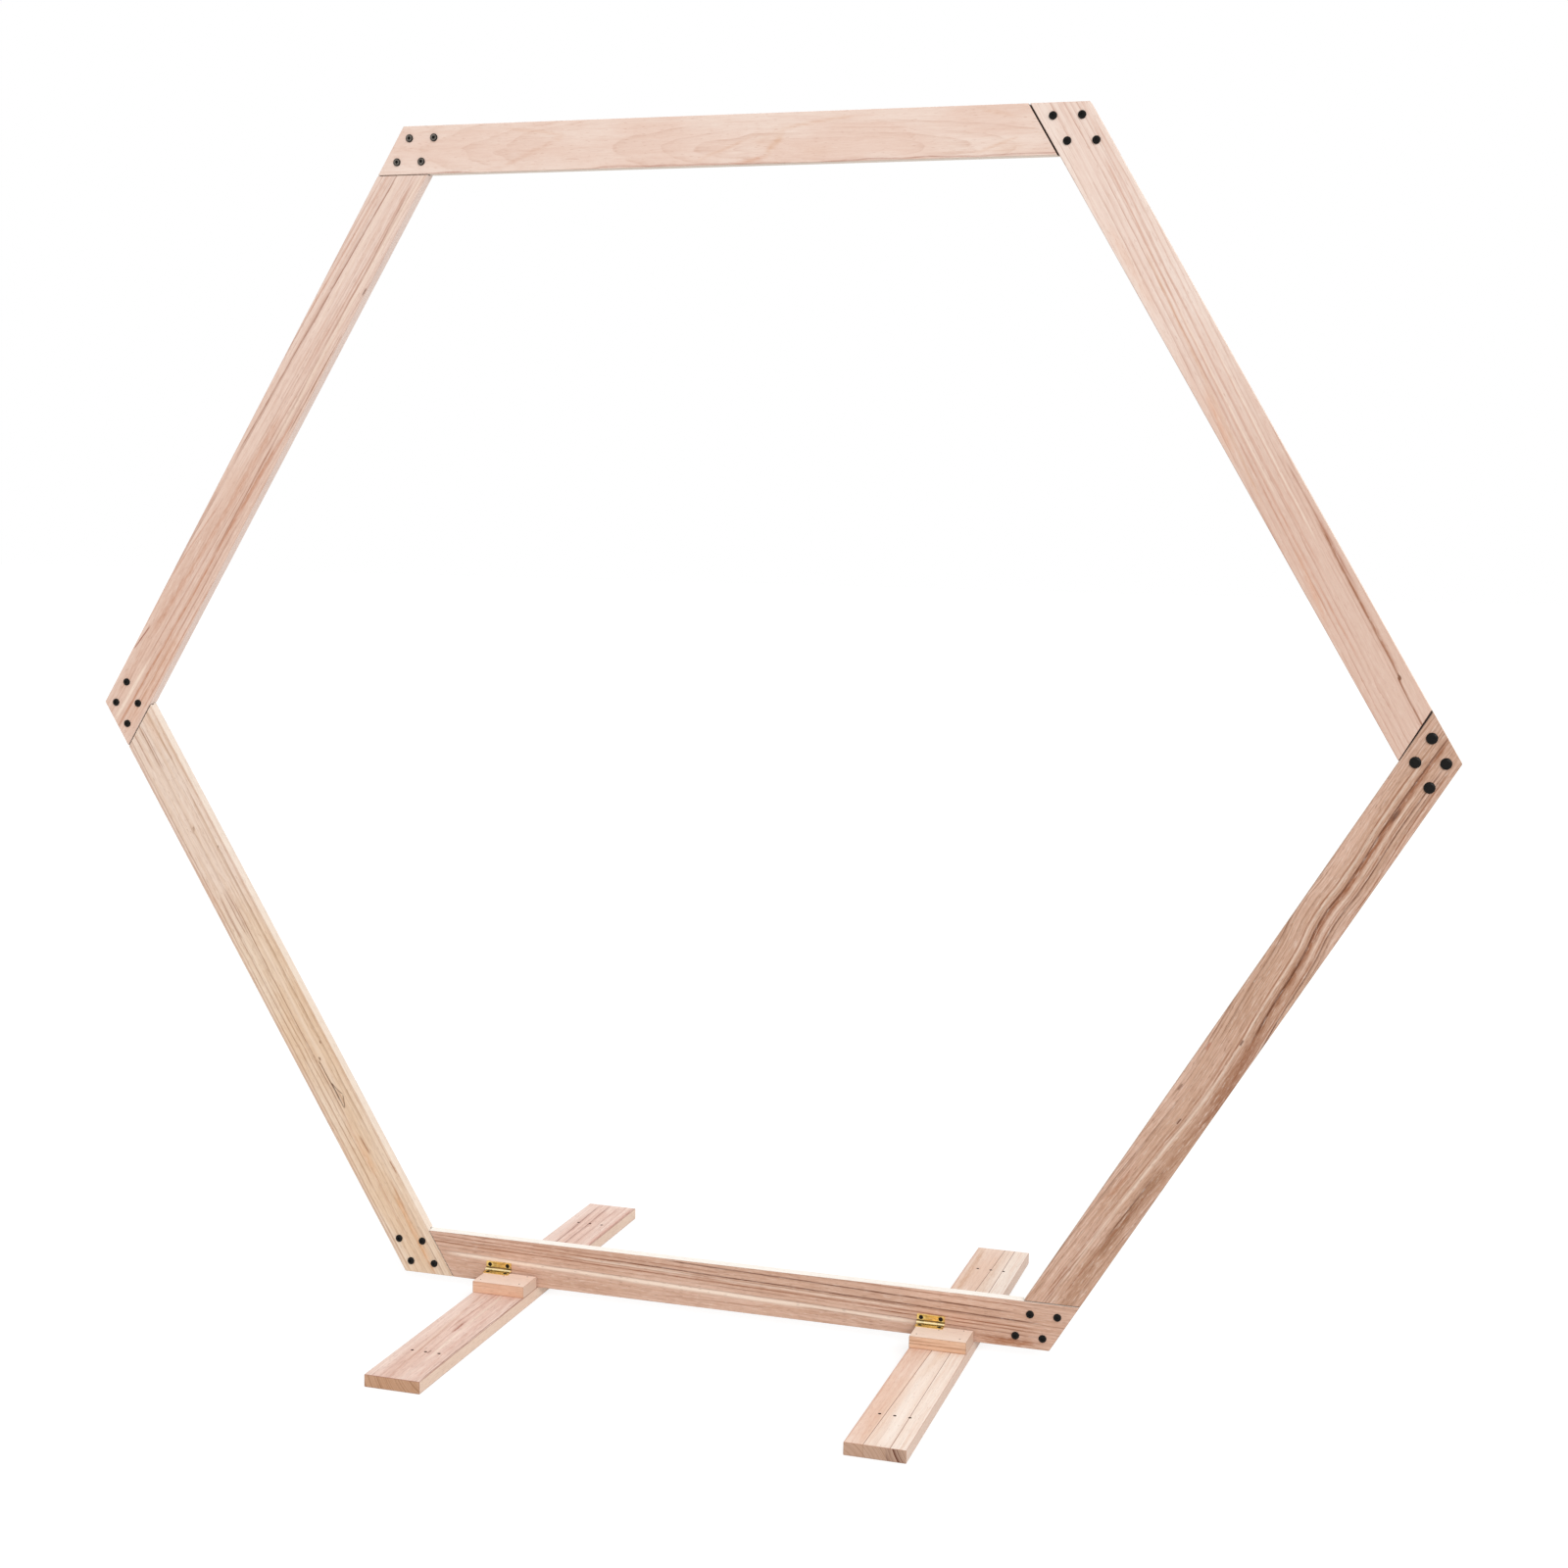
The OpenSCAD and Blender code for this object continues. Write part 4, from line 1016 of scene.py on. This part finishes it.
def make_corner_bolts():
    heads, caps, head_nodes, cap_nodes = [], [], [], []
    for k, name in enumerate(CORNER_NAMES):
        way = 1 if name == REVERSED_CORNER else -1
        for place in bolt_places(k):
            heads.append((Vector((place.x, way * BACK, place.z)), (0, way, 0)))
            caps.append((Vector((place.x, -way * BACK, place.z)), (0, -way, 0)))
        head_nodes.append("bolts_" + name)
        cap_nodes.append("nuts_" + name)
    bolts = make(make_bolt_lathe(), "corner_bolts", heads, {}, BLACK_STEEL, 4)
    stand_for(bolts, "arch", head_nodes)
    nuts = make(make_cap_lathe(), "corner_cap_nuts", caps, {}, BLACK_STEEL, 5)
    stand_for(nuts, "arch", cap_nodes)


def make_hinge_screws():
    lathe = make_screw_lathe()
    for side in ("left", "right"):
        for node, way in (("rail_screws_", Vector((0, -1, 0))), ("block_screws_", Vector((0, 0, 1)))):
            low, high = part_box(node + side)
            half = 3.4 * MM
            middle = (low + high) / 2
            top = low.y if way.y else high.z
            places = []
            for x in (low.x + half, high.x - half):
                places.append((Vector((x, top, middle.z)) if way.y else Vector((x, middle.y, top)), tuple(way)))
            screws = make(lathe, "hinge_" + node + side, places, {}, DARK_SCREW, 7)
            stand_for(screws, body_of(node + side), [node + side])


# Brad places on a block's top: share of its width from the left and of its depth from the front.
BRAD_PLACES = [(0.10, 0.22), (0.86, 0.22), (0.84, 0.90), (0.42, 0.73)]


def make_brads():
    lathe = make_brad_lathe()
    for side in ("left", "right"):
        low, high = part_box("block_" + side)
        places = []
        for across, back in BRAD_PLACES:
            places.append((Vector((low.x + (high.x - low.x) * across, low.y + (high.y - low.y) * back, high.z)), (0, 0, 1)))
        brads = make(lathe, "block_brads_" + side, places, {}, DARK_SCREW, 9)
        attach(brads, side + "_foot")


# Studio

def make_floor():
    """A wide white floor that keeps a soft shadow and shows white where it is lit."""
    mesh = bpy.data.meshes.new("studio_floor")
    mesh.from_pydata([(-40, -40, -0.0004), (40, -40, -0.0004), (40, 40, -0.0004), (-40, 40, -0.0004)], [], [(0, 1, 2, 3)])
    floor = bpy.data.objects.new("studio_floor", mesh)
    bpy.context.scene.collection.objects.link(floor)
    material = bpy.data.materials.new("white_floor")
    material.use_nodes = True
    material.node_tree.nodes.clear()
    b = Bench(material.node_tree)
    path = b.put("ShaderNodeLightPath").outputs
    seen = b.sum("MAXIMUM", path["Is Camera Ray"], path["Is Glossy Ray"])
    seen = b.sum("MAXIMUM", seen, path["Is Transmission Ray"])
    plain = b.put("ShaderNodeBsdfDiffuse", {"Color": (0.64, 0.63, 0.62, 1)}).outputs[0]
    lit = b.put("ShaderNodeBsdfDiffuse", {"Color": (0.32, 0.32, 0.32, 1)}).outputs[0]
    white = b.put("ShaderNodeEmission", {"Color": (1, 1, 1, 1), "Strength": 0.76}).outputs[0]
    shown = b.put("ShaderNodeAddShader", {0: white, 1: lit}).outputs[0]
    both = b.put("ShaderNodeMixShader", {0: seen, 1: plain, 2: shown}).outputs[0]
    b.put("ShaderNodeOutputMaterial", {0: both})
    mesh.materials.append(material)


def make_world():
    world = bpy.data.worlds.new("studio")
    bpy.context.scene.world = world
    world.use_nodes = True
    world.node_tree.nodes.clear()
    b = Bench(world.node_tree)
    path = b.put("ShaderNodeLightPath").outputs
    seen = b.sum("MAXIMUM", path["Is Camera Ray"], path["Is Glossy Ray"])
    seen = b.sum("MAXIMUM", seen, path["Is Transmission Ray"])
    soft = b.put("ShaderNodeBackground", {"Color": (1, 1, 1, 1), "Strength": 0.65}).outputs[0]
    white = b.put("ShaderNodeBackground", {"Color": (1, 1, 1, 1), "Strength": 1.0}).outputs[0]
    b.put("ShaderNodeOutputWorld", {0: b.put("ShaderNodeMixShader", {0: seen, 1: soft, 2: white}).outputs[0]})


def add_lamp(name, place, spread, power):
    """A distant soft lamp that shines from a place towards the arch."""
    data = bpy.data.lights.new(name, "SUN")
    data.angle = math.radians(spread)
    data.energy = power
    lamp = bpy.data.objects.new(name, data)
    lamp.location = place
    lamp.rotation_euler = (-Vector(place)).to_track_quat("-Z", "Y").to_euler()
    bpy.context.scene.collection.objects.link(lamp)


def make_lamps():
    add_lamp("key", (3.0, -4.2, 3.4), 34, 1.48)
    add_lamp("fill", (4.2, -1.6, 0.6), 40, 0.45)
    add_lamp("rear", (-1.6, 4.0, 3.4), 40, 0.5)


def make_camera():
    """The photograph's camera: its place, yaw, pitch and roll, and no shift."""
    place = Vector((1.09604, -3.2786, 1.26557))
    yaw, pitch, roll = 0.29514, -0.11629, 0.01801
    forward = Vector((-math.sin(yaw) * math.cos(pitch), math.cos(yaw) * math.cos(pitch), math.sin(pitch)))
    right = Vector((math.cos(yaw), math.sin(yaw), 0))
    up = right.cross(forward)
    across = right * math.cos(roll) + up * math.sin(roll)
    above = up * math.cos(roll) - right * math.sin(roll)
    data = bpy.data.cameras.new("photo_camera")
    data.sensor_width = 36
    data.lens = 51.444
    data.clip_end = 200
    camera = bpy.data.objects.new("photo_camera", data)
    camera.matrix_world = Matrix.Translation(place) @ Matrix((across, above, -forward)).transposed().to_4x4()
    bpy.context.scene.collection.objects.link(camera)
    bpy.context.scene.camera = camera


make_camera()
make_world()
make_lamps()
make_floor()
make_wood()
make_hinges()
make_corner_bolts()
make_hinge_screws()
make_brads()
bpy.context.scene.view_settings.view_transform = "Standard"
